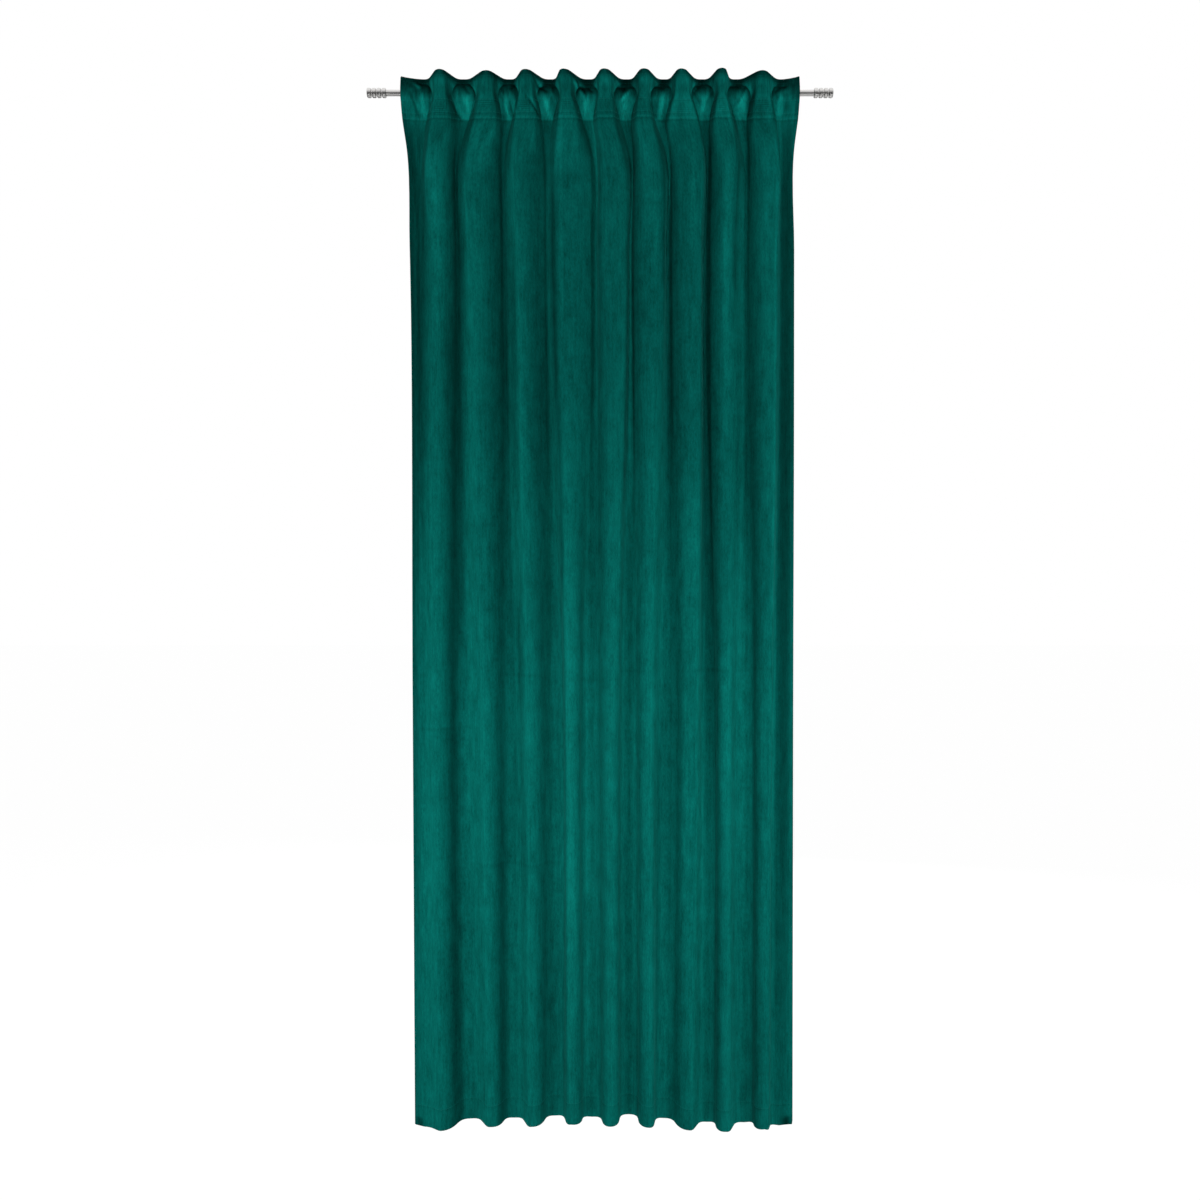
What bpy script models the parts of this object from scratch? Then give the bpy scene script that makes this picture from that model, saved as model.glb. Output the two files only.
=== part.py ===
"""A velvet curtain panel gathered on a slim rod.

The panel hangs from ten cloth loops sewn to a tape behind its heading. The rod runs through the
loops and ends in two turned finials. Metres, +Z up, the camera side is -Y. The origin is the middle
of the rod's axis.
"""

from math import acos, atan2, cos, pi, sin, sqrt

import bmesh
import bpy
import numpy as np

# Driving dimensions of the cloth
MM = 0.001
CLOTH_THICKNESS = 1.6 * MM
FOLD_CLOTH = 144 * MM
HALF_FOLD_STEPS = 6
EDGE_STEPS = 4
FINE_STEPS = 240
CROWDING = 1.5
STEEPEST_LIMIT = 0.75 * pi
HALVINGS = 40
EDGE_CURL = 0.65
DROP_REACH = 700 * MM

# Driving dimensions of the tape and the loops behind the heading
FIT_GAP = 0.3 * MM
SEWN_GAP = 0.8 * MM
TAPE_THICKNESS = 0.8 * MM
TAPE_TOP = 22 * MM
TAPE_BOTTOM = -66 * MM
LOOP_THICKNESS = 1.0 * MM
LOOP_WIDTH = 32 * MM
LOOP_TOP = 20 * MM
LOOP_UPPER_STITCH = 13 * MM
LOOP_LOWER_STITCH = -52 * MM
LOOP_BOTTOM = -62 * MM
LOOP_ARC_STEPS = 6
LOOP_COLUMNS = 3
LOOP_SAMPLES = 9
LOOP_GAP = 0.5 * MM

# Driving dimensions of the rod and its finials
ROD_RADIUS = 7 * MM
ROD_HALF_LENGTH = 503 * MM
SOCKET_RADIUS = 5.3 * MM
SOCKET_DEPTH = 22 * MM
FINIAL_RING_RADIUS = 11 * MM
FINIAL_GROOVE_RADIUS = 5 * MM
FINIAL_RING_WIDTH = 9.0 * MM
FINIAL_GROOVE_WIDTH = 2.7 * MM
FINIAL_RINGS = 4
FINIAL_ROUNDING = 0.8 * MM
ROUND_SIDES = 32

# Cross-section of the gathers at each height, from the top edge to the hem. Columns: height; valley,
# the place of the valley floors in front of (-) or behind (+) the rod's axis; dip, how much lower the
# crests hang, in mm; then the shares of a half fold's cloth that lie flat at the back and at the
# front, and that the back bend and the front bend take.
SECTIONS = (
    # height, valley, dip, back, front, back bend, front bend
    (31, -1, 0, 0.06, 0.00, 0.34, 0.26),
    (18, -6, 1, 0.10, 0.05, 0.28, 0.30),
    (4, -11, 5, 0.27, 0.10, 0.14, 0.16),
    (-12, -13, 8, 0.34, 0.10, 0.12, 0.16),
    (-34, -9, 10, 0.26, 0.18, 0.12, 0.18),
    (-66, -3, 11, 0.14, 0.28, 0.14, 0.20),
    (-130, 4, 7, 0.04, 0.24, 0.12, 0.34),
    (-370, 10, 0, 0.00, 0.14, 0.12, 0.46),
    (-900, 12, 0, 0.03, 0.04, 0.20, 0.50),
    (-1300, 13, 0, 0.10, 0.02, 0.34, 0.46),
    (-1700, 14, 0, 0.12, 0.02, 0.38, 0.44),
    (-2413, 14, 2, 0.10, 0.02, 0.40, 0.44),
)

# How much more or less of a half fold's cloth each crest shows flat in front, at six heights, and
# which way each fold leans below the heading: -1 to the left, 1 to the right.
FRONT_HEIGHTS = (31, -14, -66, -200, -900, -2413)
FRONTS = (
    # top, rod, seam, below, middle, hem
    (0.00, 0.03, -0.06, -0.06, 0.00, 0.00),
    (0.00, 0.07, 0.00, 0.00, 0.00, 0.00),
    (0.00, 0.07, 0.00, -0.06, 0.00, 0.00),
    (0.00, 0.00, -0.04, 0.12, 0.04, 0.00),
    (0.00, 0.06, -0.08, 0.04, 0.02, 0.00),
    (0.00, -0.01, -0.10, 0.04, 0.00, 0.00),
    (0.00, 0.09, 0.12, 0.06, 0.02, 0.00),
    (0.00, -0.04, -0.06, -0.06, 0.00, 0.00),
    (0.00, 0.07, 0.00, -0.04, 0.00, 0.00),
)
LEANS = (-1, -1, -1, -0.8, 0, 0.6, 1, 1, 1)
LEAN = 0.5
LEAN_SHIFT = 6 * MM
LEAN_REACH = 150 * MM

# The pouches that stand out of the valleys at the rod. Columns: valley, counted from 0 at the left;
# sideways of its line; drift, how far it moves sideways from its top to its bottom; forward; half
# width; top and bottom, in mm.
POUCHES = (
    # valley, sideways, drift, forward, half width, top, bottom
    (0, 8, 0, 6, 16, 13, -62),
    (1, 0, 6, 8, 20, 16, -65),
    (2, 0, 2, 8, 16, 14, -64),
    (3, -4, 6, 9, 18, 8, -65),
    (4, -3, 4, 9, 18, 6, -65),
    (5, 0, 0, 9, 18, 8, -65),
    (6, -3, 4, 8, 15, 9, -64),
    (7, -1, 0, 9, 17, 11, -65),
    (8, 2, 0, 8, 19, 12, -65),
    (9, -4, 0, 7, 16, 11, -58),
)
POUCH_NARROWING = 0.5
POUCH_RISE = 0.7
POUCH_SHARPNESS = 1.2

# Where the fold lines run, in mm from the rod's middle, at six heights from the top edge to the
# hem. The last column is how far the hem hangs below its level there.
LINE_HEIGHTS = (31, -66, -130, -370, -1420, -2413)
CRESTS = (
    # top, seam, below, upper, middle, hem, drop
    (-371, -369, -378, -376, -378, -365, 7),
    (-263, -264, -282, -283, -264, -248, 2),
    (-173, -172, -183, -181, -160, -153, 2),
    (-85, -74, -79, -79, -67, -62, -5),
    (9, 13, 23, 31, 26, 26, 0),
    (101, 101, 111, 119, 109, 109, 2),
    (187, 192, 204, 213, 215, 202, 7),
    (281, 281, 292, 290, 288, 286, 11),
    (376, 379, 389, 391, 384, 376, 9),
)
VALLEYS = (
    # top, seam, below, upper, middle, hem, drop
    (-417, -420, -422, -423, -421, -410, 8),
    (-321, -321, -335, -337, -321, -305, 0),
    (-212, -218, -226, -227, -208, -203, -2),
    (-116, -123, -125, -125, -104, -105, -7),
    (-26, -28, -14, -10, -23, -19, -2),
    (63, 60, 72, 72, 68, 68, -7),
    (151, 141, 157, 159, 158, 151, 0),
    (240, 245, 251, 247, 257, 254, 9),
    (319, 331, 340, 345, 343, 342, 9),
    (428, 425, 427, 428, 424, 422, 15),
)
EDGES = (
    # top, seam, below, upper, middle, hem, drop
    (-465, -462, -452, -444, -438, -434, 10),
    (465, 462, 454, 452, 452, 452, 10),
)
# At the same heights, how far the outer valleys and the side edges stand in front of (-) the
# other valley floors: left, then right.
OUTER_VALLEY_SHIFTS = ((0, 0, -2, -12, -28, -34), (0, 0, 0, -2, -4, -8))
EDGE_SHIFTS = ((-14, -10, -20, -34, -38, -36), (-14, -10, -9, -8, -10, -12))

# Heights of the panel's rows of faces, in mm. The tape uses the rows between its two edges.
ROW_HEIGHTS = (
    31, 22, 12, 2, -8, -20, -36, -52, -66, -86, -120, -200, -370,
    -700, -1060, -1420, -1780, -2100, -2330, -2413,
)  # fmt: skip


def clear_scene():
    """Removes whatever objects the open file holds."""
    for item in list(bpy.data.objects):
        bpy.data.objects.remove(item, do_unlink=True)


def new_collection(name):
    """Adds an empty collection to the scene."""
    collection = bpy.data.collections.new(name)
    bpy.context.scene.collection.children.link(collection)
    return collection


def make_material(name, colour, roughness, metallic=0.0, sheen=0.0):
    """A Principled material of one finish."""
    material = bpy.data.materials.new(name)
    material.use_nodes = True
    shader = material.node_tree.nodes["Principled BSDF"]
    shader.inputs["Base Color"].default_value = (*colour, 1.0)
    shader.inputs["Roughness"].default_value = roughness
    shader.inputs["Metallic"].default_value = metallic
    shader.inputs["Sheen Weight"].default_value = sheen
    material.diffuse_color = (*colour, 1.0)
    return material


def add_object(name, mesh, material, collection):
    """Links a mesh as a named object with its material and rounded shading."""
    mesh.materials.append(material)
    mesh.shade_smooth()
    mesh.set_sharp_from_angle(angle=pi / 5)
    item = bpy.data.objects.new(name, mesh)
    collection.objects.link(item)
    return item


def smooth_column(heights, values, at):
    """A smooth curve through values given at falling heights, read at the heights asked for."""
    heights = -np.asarray(heights, float) * MM
    values = np.asarray(values, float)
    slopes = np.gradient(values, heights)
    place = np.clip(np.searchsorted(heights, -at, side="right") - 1, 0, len(heights) - 2)
    span = heights[place + 1] - heights[place]
    t = (-at - heights[place]) / span
    start = (1 + 2 * t) * (1 - t) ** 2 * values[place] + t * (1 - t) ** 2 * span * slopes[place]
    end = t * t * (3 - 2 * t) * values[place + 1] - t * t * (1 - t) * span * slopes[place + 1]
    return start + end


def ease(share):
    """Runs smoothly from 0 to 1."""
    share = np.clip(share, 0.0, 1.0)
    return share * share * (3.0 - 2.0 * share)


def turn(share):
    """Runs from 0 to 1 as a quarter wave, quick at first."""
    return np.sin(np.clip(share, 0.0, 1.0) * pi / 2)


def bell(distance, width):
    """One at no distance, falling as the normal curve does."""
    return np.exp(-((distance / width) ** 2))


def half_fold(span, cloth, back, front, back_bend, front_bend, steps):
    """The line of cloth from a valley's floor to a crest, as shares of its width and its depth.

    The cloth's angle to the front is nothing over the flat back, turns up over a bend, keeps its
    steepest value along the wall and turns back to nothing over the flat front. The steepest
    angle is the one that fits this length of cloth into the half fold's span. The points crowd
    together where the cloth turns.
    """
    t = (np.arange(FINE_STEPS) + 0.5) / FINE_STEPS
    wall = turn((t - back[..., None]) / back_bend[..., None])
    wall = wall * turn((1.0 - front[..., None] - t) / front_bend[..., None])
    low = np.zeros_like(span)
    high = np.full_like(span, STEEPEST_LIMIT)
    for _ in range(HALVINGS):
        steepest = (low + high) / 2
        reach = cloth * np.cos(steepest[..., None] * wall).mean(-1)
        low = np.where(reach > span, steepest, low)
        high = np.where(reach > span, high, steepest)
    angle = steepest[..., None] * wall
    turning = np.abs(np.gradient(angle, axis=-1))
    pace = np.cumsum(1 + CROWDING * turning / turning.mean(-1, keepdims=True), -1)
    marks = np.arange(1, steps + 1) / steps
    place = (pace[..., None, :] / pace[..., None, -1:] < marks[:, None] - 1e-9).sum(-1)
    across = np.take_along_axis(np.cumsum(np.cos(angle), -1), place, -1)
    deep = np.take_along_axis(np.cumsum(np.sin(angle), -1), place, -1)
    depth = cloth * np.sin(angle).mean(-1)
    return across / across[..., -1:], deep / deep[..., -1:], depth


def columns_at(table, heights, z):
    """The values of each row of a table at each height, one column for each row."""
    return np.stack([smooth_column(heights, row, z) for row in table], 1)


def fold_lines(table, z):
    """Across positions of each line of a table at each height, one column for each line."""
    return columns_at([row[:-1] for row in table], LINE_HEIGHTS, z) * MM


def carry(start, end, share):
    """Places between the two ends of a span, at shares of it, for each height."""
    return start[:, None] + (end - start)[:, None] * share


def drape(heights, steps, edge_steps):
    """Points of the hanging cloth, one row for each height and one column across the cloth."""
    z = np.asarray(heights, float) * MM
    section_heights = [row[0] for row in SECTIONS]
    sections = [smooth_column(section_heights, column, z) for column in list(zip(*SECTIONS))[1:]]
    floor, dip = sections[0] * MM, sections[1] * MM
    back, front, back_bend, front_bend = (
        np.repeat(values[:, None], len(CRESTS), 1) for values in sections[2:]
    )
    front = front + columns_at(FRONTS, FRONT_HEIGHTS, z)
    lean = np.array(LEANS) * ease((z[0] - z) / LEAN_REACH)[:, None]
    crest_x = fold_lines(CRESTS, z) + lean * LEAN_SHIFT
    valley_x = fold_lines(VALLEYS, z)
    edge_x = fold_lines(EDGES, z)
    valley_y = np.repeat(floor[:, None], len(VALLEYS), 1)
    valley_y[:, [0, -1]] += columns_at(OUTER_VALLEY_SHIFTS, LINE_HEIGHTS, z) * MM
    edge_y = floor[:, None] + columns_at(EDGE_SHIFTS, LINE_HEIGHTS, z) * MM

    spans = (crest_x - valley_x[:, :-1], valley_x[:, 1:] - crest_x)
    middle = (spans[0] + spans[1]) / 2
    bends = (front_bend * (1 + LEAN * lean), front_bend * (1 - LEAN * lean))
    left, right = (
        half_fold(span, FOLD_CLOTH / 2 + span - middle, back, front, back_bend, bend, steps)
        for span, bend in zip(spans, bends)
    )
    crest_y = floor[:, None] - (left[2] + right[2]) / 2

    x, y = [valley_x[:, :1]], [valley_y[:, :1]]
    for fold in range(len(CRESTS)):
        x.append(carry(valley_x[:, fold], crest_x[:, fold], left[0][:, fold]))
        y.append(carry(valley_y[:, fold], crest_y[:, fold], left[1][:, fold]))
        across, deep = (
            np.concatenate([share[:, fold, -2::-1], np.zeros((len(z), 1))], 1) for share in right[:2]
        )
        x.append(carry(valley_x[:, fold + 1], crest_x[:, fold], across))
        y.append(carry(valley_y[:, fold + 1], crest_y[:, fold], deep))

    t = np.arange(1, edge_steps + 1) / edge_steps
    curl = (1 - EDGE_CURL) * t + EDGE_CURL * t * t
    left_x, right_x = (carry(valley_x[:, side], edge_x[:, side], t) for side in (0, -1))
    left_y, right_y = (carry(valley_y[:, side], edge_y[:, side], curl) for side in (0, -1))
    x = np.concatenate([left_x[:, ::-1], *x, right_x], 1)
    y = np.concatenate([left_y[:, ::-1], *y, right_y], 1)

    stand = ease((floor[:, None] - y) / (floor[:, None] - crest_y.mean(1, keepdims=True)))
    drop = hem_drop(steps, edge_steps) * ease(1 - (z[:, None] - z[-1]) / DROP_REACH)
    y = y - swell(z[:, None], steps, edge_steps)
    return np.stack([x, y, z[:, None] - dip[:, None] * stand - drop], -1)


def swell(z, steps, edge_steps):
    """How far the pouches stand forward at each height and column."""
    columns = 2 * steps * len(CRESTS) + 2 * edge_steps + 1
    along = (np.arange(columns) - edge_steps) * FOLD_CLOTH / (2 * steps)
    forward = np.zeros((len(z), columns))
    for valley, sideways, drift, rise, half_width, top, bottom in POUCHES:
        down = np.clip((top * MM - z) / ((top - bottom) * MM), 0.0, 1.0)
        reach = half_width * MM * (1 - POUCH_NARROWING * down)
        away = along - valley * FOLD_CLOTH - (sideways + drift * down) * MM
        forward += rise * MM * np.sin(pi * down**POUCH_RISE) ** POUCH_SHARPNESS * bell(away, reach)
    return forward


def hem_drop(steps, edge_steps):
    """How far the hem hangs below its level at each column of the cloth."""
    lines = [row for pair in zip(VALLEYS, CRESTS) for row in pair] + [VALLEYS[-1]]
    drops = [EDGES[0][-1]] + [row[-1] for row in lines] + [EDGES[1][-1]]
    columns = [0] + [edge_steps + steps * line for line in range(len(lines))]
    columns.append(columns[-1] + edge_steps)
    return np.interp(np.arange(columns[-1] + 1), columns, drops) * MM


def offset_back(points, distance):
    """Moves each row of cloth backwards along its own outline, mitred at its corners.

    Where the cloth slopes, the move is longer, so that the gap stays the same across it.
    """
    facing = np.cross(np.gradient(points, axis=0), np.gradient(points, axis=1))
    level = np.linalg.norm(facing[..., :2], axis=-1) / np.linalg.norm(facing, axis=-1)
    step = np.diff(points[..., :2], axis=1)
    side = np.stack([-step[..., 1], step[..., 0]], -1)
    side /= np.linalg.norm(side, axis=-1, keepdims=True)
    before = np.concatenate([side[:, :1], side], 1)
    after = np.concatenate([side, side[:, -1:]], 1)
    mitre = before + after
    mitre *= 2 / (mitre**2).sum(-1, keepdims=True)
    moved = points.copy()
    moved[..., :2] += mitre * distance / level[..., None]
    return moved


def sheet_mesh(name, points):
    """A grid of faces over rows of points, turned so that it faces the front."""
    rows, columns = points.shape[:2]
    build = bmesh.new()
    bmesh.ops.create_grid(build, x_segments=columns - 1, y_segments=rows - 1, size=1.0)
    build.verts.ensure_lookup_table()
    order = sorted(build.verts, key=lambda v: (-round(v.co.y * (rows - 1)), round(v.co.x * (columns - 1))))
    for vertex, place in zip(order, points.reshape(-1, 3)):
        vertex.co = place
    bmesh.ops.recalc_face_normals(build, faces=build.faces)
    if sum(face.normal.y * face.calc_area() for face in build.faces) > 0:
        bmesh.ops.reverse_faces(build, faces=build.faces)
    mesh = bpy.data.meshes.new(name)
    build.to_mesh(mesh)
    build.free()
    return mesh


def add_solidify(item, thickness, offset):
    """Gives an open sheet its thickness."""
    solid = item.modifiers.new("thickness", "SOLIDIFY")
    solid.thickness = thickness
    solid.offset = offset
    solid.use_even_offset = True
    solid.use_quality_normals = True


def build_panel(cloth, collection):
    """The velvet panel: one sheet with its thickness."""
    velvet = make_material("velvet", (0.003, 0.085, 0.068), 0.85, sheen=0.4)
    item = add_object("curtain_panel", sheet_mesh("curtain_panel", cloth), velvet, collection)
    add_solidify(item, CLOTH_THICKNESS, 0.0)
    return item


def build_tape(cloth, heights, collection):
    """The heading tape: a thin band on the back of the cloth's own folds."""
    webbing = make_material("webbing", (0.02, 0.10, 0.085), 0.9)
    rows = [i for i, height in enumerate(heights) if TAPE_BOTTOM <= height * MM <= TAPE_TOP]
    band = offset_back(cloth[rows[0] : rows[-1] + 1], CLOTH_THICKNESS / 2 + SEWN_GAP)
    item = add_object("heading_tape", sheet_mesh("heading_tape", band), webbing, collection)
    add_solidify(item, TAPE_THICKNESS, -1.0)
    return item


def loop_route(behind):
    """The middle line of a loop, seen from the side: sewn end, over and behind the rod, sewn end.

    behind gives the depth of a loop's middle line where it lies flat on the tape at a height.
    """
    radius = ROD_RADIUS + FIT_GAP + LOOP_THICKNESS / 2

    def leaves(height, side):
        y = behind(height)
        return atan2(y, height) + side * acos(radius / sqrt(y * y + height * height))

    start = leaves(LOOP_UPPER_STITCH, 1)
    stop = leaves(LOOP_LOWER_STITCH, -1) % (2 * pi)
    angles = np.linspace(start, stop, LOOP_ARC_STEPS + 1)
    route = [(behind(height), height) for height in (LOOP_TOP, LOOP_UPPER_STITCH)]
    route += [(radius * sin(angle), radius * cos(angle)) for angle in angles]
    route += [(behind(height), height) for height in (LOOP_LOWER_STITCH, LOOP_BOTTOM)]
    return route


def build_loop(number, centre, behind, material, collection):
    """One hanging loop: a strip of cloth carried along its route behind the rod."""
    route = loop_route(behind)
    sides = (centre - LOOP_WIDTH / 2, centre + LOOP_WIDTH / 2)
    points = np.array([[(x, y, z) for x in sides] for y, z in route])
    name = f"tab_{number:02d}"
    item = add_object(name, sheet_mesh(name, points), material, collection)
    add_solidify(item, LOOP_THICKNESS, 0.0)
    return item


def turned(name, profile, material, collection):
    """Turns a profile of (along X, radius) points, from the axis to the axis, about the X axis."""
    build = bmesh.new()
    corners = [build.verts.new((along, 0.0, radius)) for along, radius in reversed(profile)]
    for first, second in zip(corners, corners[1:]):
        build.edges.new((first, second))
    mesh = bpy.data.meshes.new(name)
    build.to_mesh(mesh)
    build.free()
    item = add_object(name, mesh, material, collection)
    screw = item.modifiers.new("turning", "SCREW")
    screw.axis = "X"
    screw.steps = ROUND_SIDES
    screw.render_steps = ROUND_SIDES
    screw.use_merge_vertices = True
    screw.merge_threshold = 0.00001
    return item


def build_rod(metal, collection):
    """The rod: a round bar with a socket in each end for the finials."""
    end, floor = ROD_HALF_LENGTH, ROD_HALF_LENGTH - SOCKET_DEPTH
    right = [(end, ROD_RADIUS), (end, SOCKET_RADIUS), (floor, SOCKET_RADIUS), (floor, 0.0)]
    left = [(-along, radius) for along, radius in reversed(right)]
    return turned("rod", left + right, metal, collection)


def ring_profile(start):
    """One ring of a finial, with rounded rims."""
    stop = start + FINIAL_RING_WIDTH
    low = FINIAL_RING_RADIUS - FINIAL_ROUNDING
    return [
        (start, low),
        (start + FINIAL_ROUNDING, FINIAL_RING_RADIUS),
        (stop - FINIAL_ROUNDING, FINIAL_RING_RADIUS),
        (stop, low),
    ]


def build_finial(name, side, metal, collection):
    """A finial: rings parted by grooves, on a spigot that plugs into the rod's socket."""
    spigot = SOCKET_RADIUS - FIT_GAP
    shoulder = ROD_HALF_LENGTH + FIT_GAP
    tip = ROD_HALF_LENGTH - SOCKET_DEPTH + 2 * FIT_GAP
    profile = [(tip, 0.0), (tip, spigot), (shoulder, spigot)]
    for ring in range(FINIAL_RINGS):
        start = shoulder + ring * (FINIAL_RING_WIDTH + FINIAL_GROOVE_WIDTH)
        if ring:
            profile.append((start - FINIAL_GROOVE_WIDTH, FINIAL_GROOVE_RADIUS))
            profile.append((start, FINIAL_GROOVE_RADIUS))
        profile += ring_profile(start)
    profile.append((profile[-1][0], 0.0))
    profile = [(side * along, radius) for along, radius in profile]
    return turned(name, profile[::side], metal, collection)


def loop_seat(tape_back, heights, column, centre):
    """A function giving how far back a loop's middle line lies on the tape at a height.

    The loop is flat across, so it lies on whatever stands farthest back over its width.
    """
    near = slice(column - LOOP_COLUMNS, column + LOOP_COLUMNS + 1)
    across = centre + np.linspace(-LOOP_WIDTH / 2, LOOP_WIDTH / 2, LOOP_SAMPLES)
    farthest = [np.interp(across, row[near, 0], row[near, 1]).max() for row in tape_back]
    z = -np.asarray(heights, float) * MM
    return lambda height: float(np.interp(-height, z, farthest)) + LOOP_GAP + LOOP_THICKNESS / 2


def build_all():
    """Builds the curtain, its loops and its rod."""
    clear_scene()
    collection = new_collection("curtain_panel_on_rod")
    steel = make_material("brushed_steel", (0.50, 0.51, 0.52), 0.32, metallic=1.0)
    strip = make_material("loop_cloth", (0.008, 0.075, 0.06), 0.9)
    cloth = drape(ROW_HEIGHTS, HALF_FOLD_STEPS, EDGE_STEPS)
    build_panel(cloth, collection)
    build_tape(cloth, ROW_HEIGHTS, collection)
    tape_back = offset_back(cloth, CLOTH_THICKNESS / 2 + SEWN_GAP + TAPE_THICKNESS)
    for number in range(len(VALLEYS)):
        column = EDGE_STEPS + 2 * HALF_FOLD_STEPS * number
        centre = (VALLEYS[number][0] + VALLEYS[number][1]) / 2 * MM
        seat = loop_seat(tape_back, ROW_HEIGHTS, column, centre)
        build_loop(number + 1, centre, seat, strip, collection)
    build_rod(steel, collection)
    build_finial("finial_left", -1, steel, collection)
    build_finial("finial_right", 1, steel, collection)


build_all()
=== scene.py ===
"""The looks of a velvet curtain panel gathered on a slim steel rod.

The panel hangs from ten cloth loops sewn to a tape behind its heading, and the rod runs through
the loops. Metres, +Z up, the room is on the -Y side. The origin is the middle of the rod's axis.
"""

from math import acos, atan2, pi, sqrt

import bpy
import numpy as np
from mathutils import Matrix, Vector


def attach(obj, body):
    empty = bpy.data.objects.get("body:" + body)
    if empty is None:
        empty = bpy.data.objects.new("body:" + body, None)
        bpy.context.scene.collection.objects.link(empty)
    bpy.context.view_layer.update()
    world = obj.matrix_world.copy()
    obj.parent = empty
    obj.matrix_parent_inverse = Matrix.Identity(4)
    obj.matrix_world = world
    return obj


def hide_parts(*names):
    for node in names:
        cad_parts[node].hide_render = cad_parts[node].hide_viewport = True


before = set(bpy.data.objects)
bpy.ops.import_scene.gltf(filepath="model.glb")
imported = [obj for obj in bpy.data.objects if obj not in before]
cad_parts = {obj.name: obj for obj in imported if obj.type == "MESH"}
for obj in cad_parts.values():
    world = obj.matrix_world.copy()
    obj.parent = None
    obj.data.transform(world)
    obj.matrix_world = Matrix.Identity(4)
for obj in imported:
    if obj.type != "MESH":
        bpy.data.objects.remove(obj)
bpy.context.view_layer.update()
scene = bpy.context.scene

# The camera stands in the room, straight in front of the curtain and level with its middle.
CAMERA_PLACE = (0.0, -2.4, -1.193)
CAMERA_LENS = 30.6
CAMERA_SENSOR = 36.0
camera = bpy.data.objects.new("camera", bpy.data.cameras.new("camera"))
camera.location = CAMERA_PLACE
camera.rotation_euler = (pi / 2, 0.0, 0.0)
camera.data.lens = CAMERA_LENS
camera.data.sensor_width = CAMERA_SENSOR
scene.collection.objects.link(camera)
scene.camera = camera
scene.view_settings.view_transform = "Standard"

# The studio: a wide pale floor below the hem, white surroundings, and soft lamps. Two stand at the
# sides, so that deep folds are dark and outer edges bright. A low one in front lights the lower half,
# and one behind lights the back.
FLOOR_HEIGHT = -2.62
FLOOR_SIDE = 60.0
FLOOR_COLOUR = (0.88, 0.88, 0.88, 1.0)
FLOOR_GLOW = 0.93
FLOOR_WHITE = 1.06
SURROUNDINGS_LIGHT = 0.04
MIRRORED_LOW = 0.40
MIRRORED_HIGH = 1.25
MIRRORED_TOP = 0.7
LAMPS = (
    # name, x, y, z, aimed at x, aimed at z, width, height, watts
    ("front_lamp", 0.0, -2.9, -2.0, 0.0, -1.7, 0.5, 0.5, 38.0),
    ("left_lamp", -1.6, -1.7, -1.35, -0.1, -1.3, 0.5, 1.4, 24.0),
    ("right_lamp", 1.6, -1.7, -1.35, 0.1, -1.3, 0.5, 1.4, 24.0),
    ("back_lamp", 0.6, 3.2, -0.9, 0.0, -1.2, 2.0, 2.0, 150.0),
)


def new_material(name):
    """A material with its node tree and its Principled shader."""
    material = bpy.data.materials.new(name)
    material.use_nodes = True
    return material, material.node_tree, material.node_tree.nodes["Principled BSDF"]


def fill(tree, node, inputs):
    """Gives a node's inputs values or links."""
    for socket, value in inputs.items():
        if isinstance(value, bpy.types.NodeSocket):
            tree.links.new(value, node.inputs[socket])
        else:
            node.inputs[socket].default_value = value


def add_node(tree, kind, inputs=(), **settings):
    """Adds a shader node with its settings, and gives its inputs values or links."""
    node = tree.nodes.new(kind)
    for name, value in settings.items():
        setattr(node, name, value)
    fill(tree, node, dict(inputs))
    return node


def reckon(tree, operation, first, second=0.0):
    """A sum, a product or another operation on one or two values or sockets."""
    return add_node(tree, "ShaderNodeMath", {0: first, 1: second}, operation=operation).outputs[0]


def between(tree, share, low, high, top=1.0):
    """A value that goes from low to high as a share goes from nothing to its top."""
    inputs = {"Value": share, "From Max": top, "To Min": low, "To Max": high}
    return add_node(tree, "ShaderNodeMapRange", inputs).outputs[0]


def grid_faces(at):
    """Quads of a grid of point numbers."""
    return np.stack([at[:-1, :-1], at[1:, :-1], at[1:, 1:], at[:-1, 1:]], -1).reshape(-1, 4)


def add_piece(name, points, faces, material, smooth=True):
    """Makes a mesh object of points and of arrays that each hold faces with one number of corners."""
    mesh = bpy.data.meshes.new(name)
    corners = [face for part in faces for face in part.tolist()]
    mesh.from_pydata(np.asarray(points).reshape(-1, 3).tolist(), [], corners)
    mesh.polygons.foreach_set("use_smooth", [smooth] * len(mesh.polygons))
    mesh.materials.append(material)
    mesh.update()
    piece = bpy.data.objects.new(name, mesh)
    scene.collection.objects.link(piece)
    return piece


floor_paint, floor_tree, floor_shader = new_material("floor_paint")
fill(floor_tree, floor_shader, {"Base Color": FLOOR_COLOUR, "Roughness": 0.9})
floor_glow = add_node(floor_tree, "ShaderNodeEmission", {"Color": (1, 1, 1, 1), "Strength": FLOOR_WHITE})
floor_seen = add_node(floor_tree, "ShaderNodeLightPath").outputs["Is Camera Ray"]
floor_mix = add_node(
    floor_tree,
    "ShaderNodeMixShader",
    {
        0: reckon(floor_tree, "MULTIPLY", floor_seen, FLOOR_GLOW),
        1: floor_shader.outputs[0],
        2: floor_glow.outputs[0],
    },
)
fill(floor_tree, floor_tree.nodes["Material Output"], {"Surface": floor_mix.outputs[0]})
side = np.array([-FLOOR_SIDE / 2, FLOOR_SIDE / 2])
floor_points = np.stack(np.broadcast_arrays(side[:, None], side, FLOOR_HEIGHT), -1)
floor_faces = grid_faces(np.arange(4).reshape(2, 2))
floor = add_piece("studio_floor", floor_points, [floor_faces], floor_paint, smooth=False)

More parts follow.
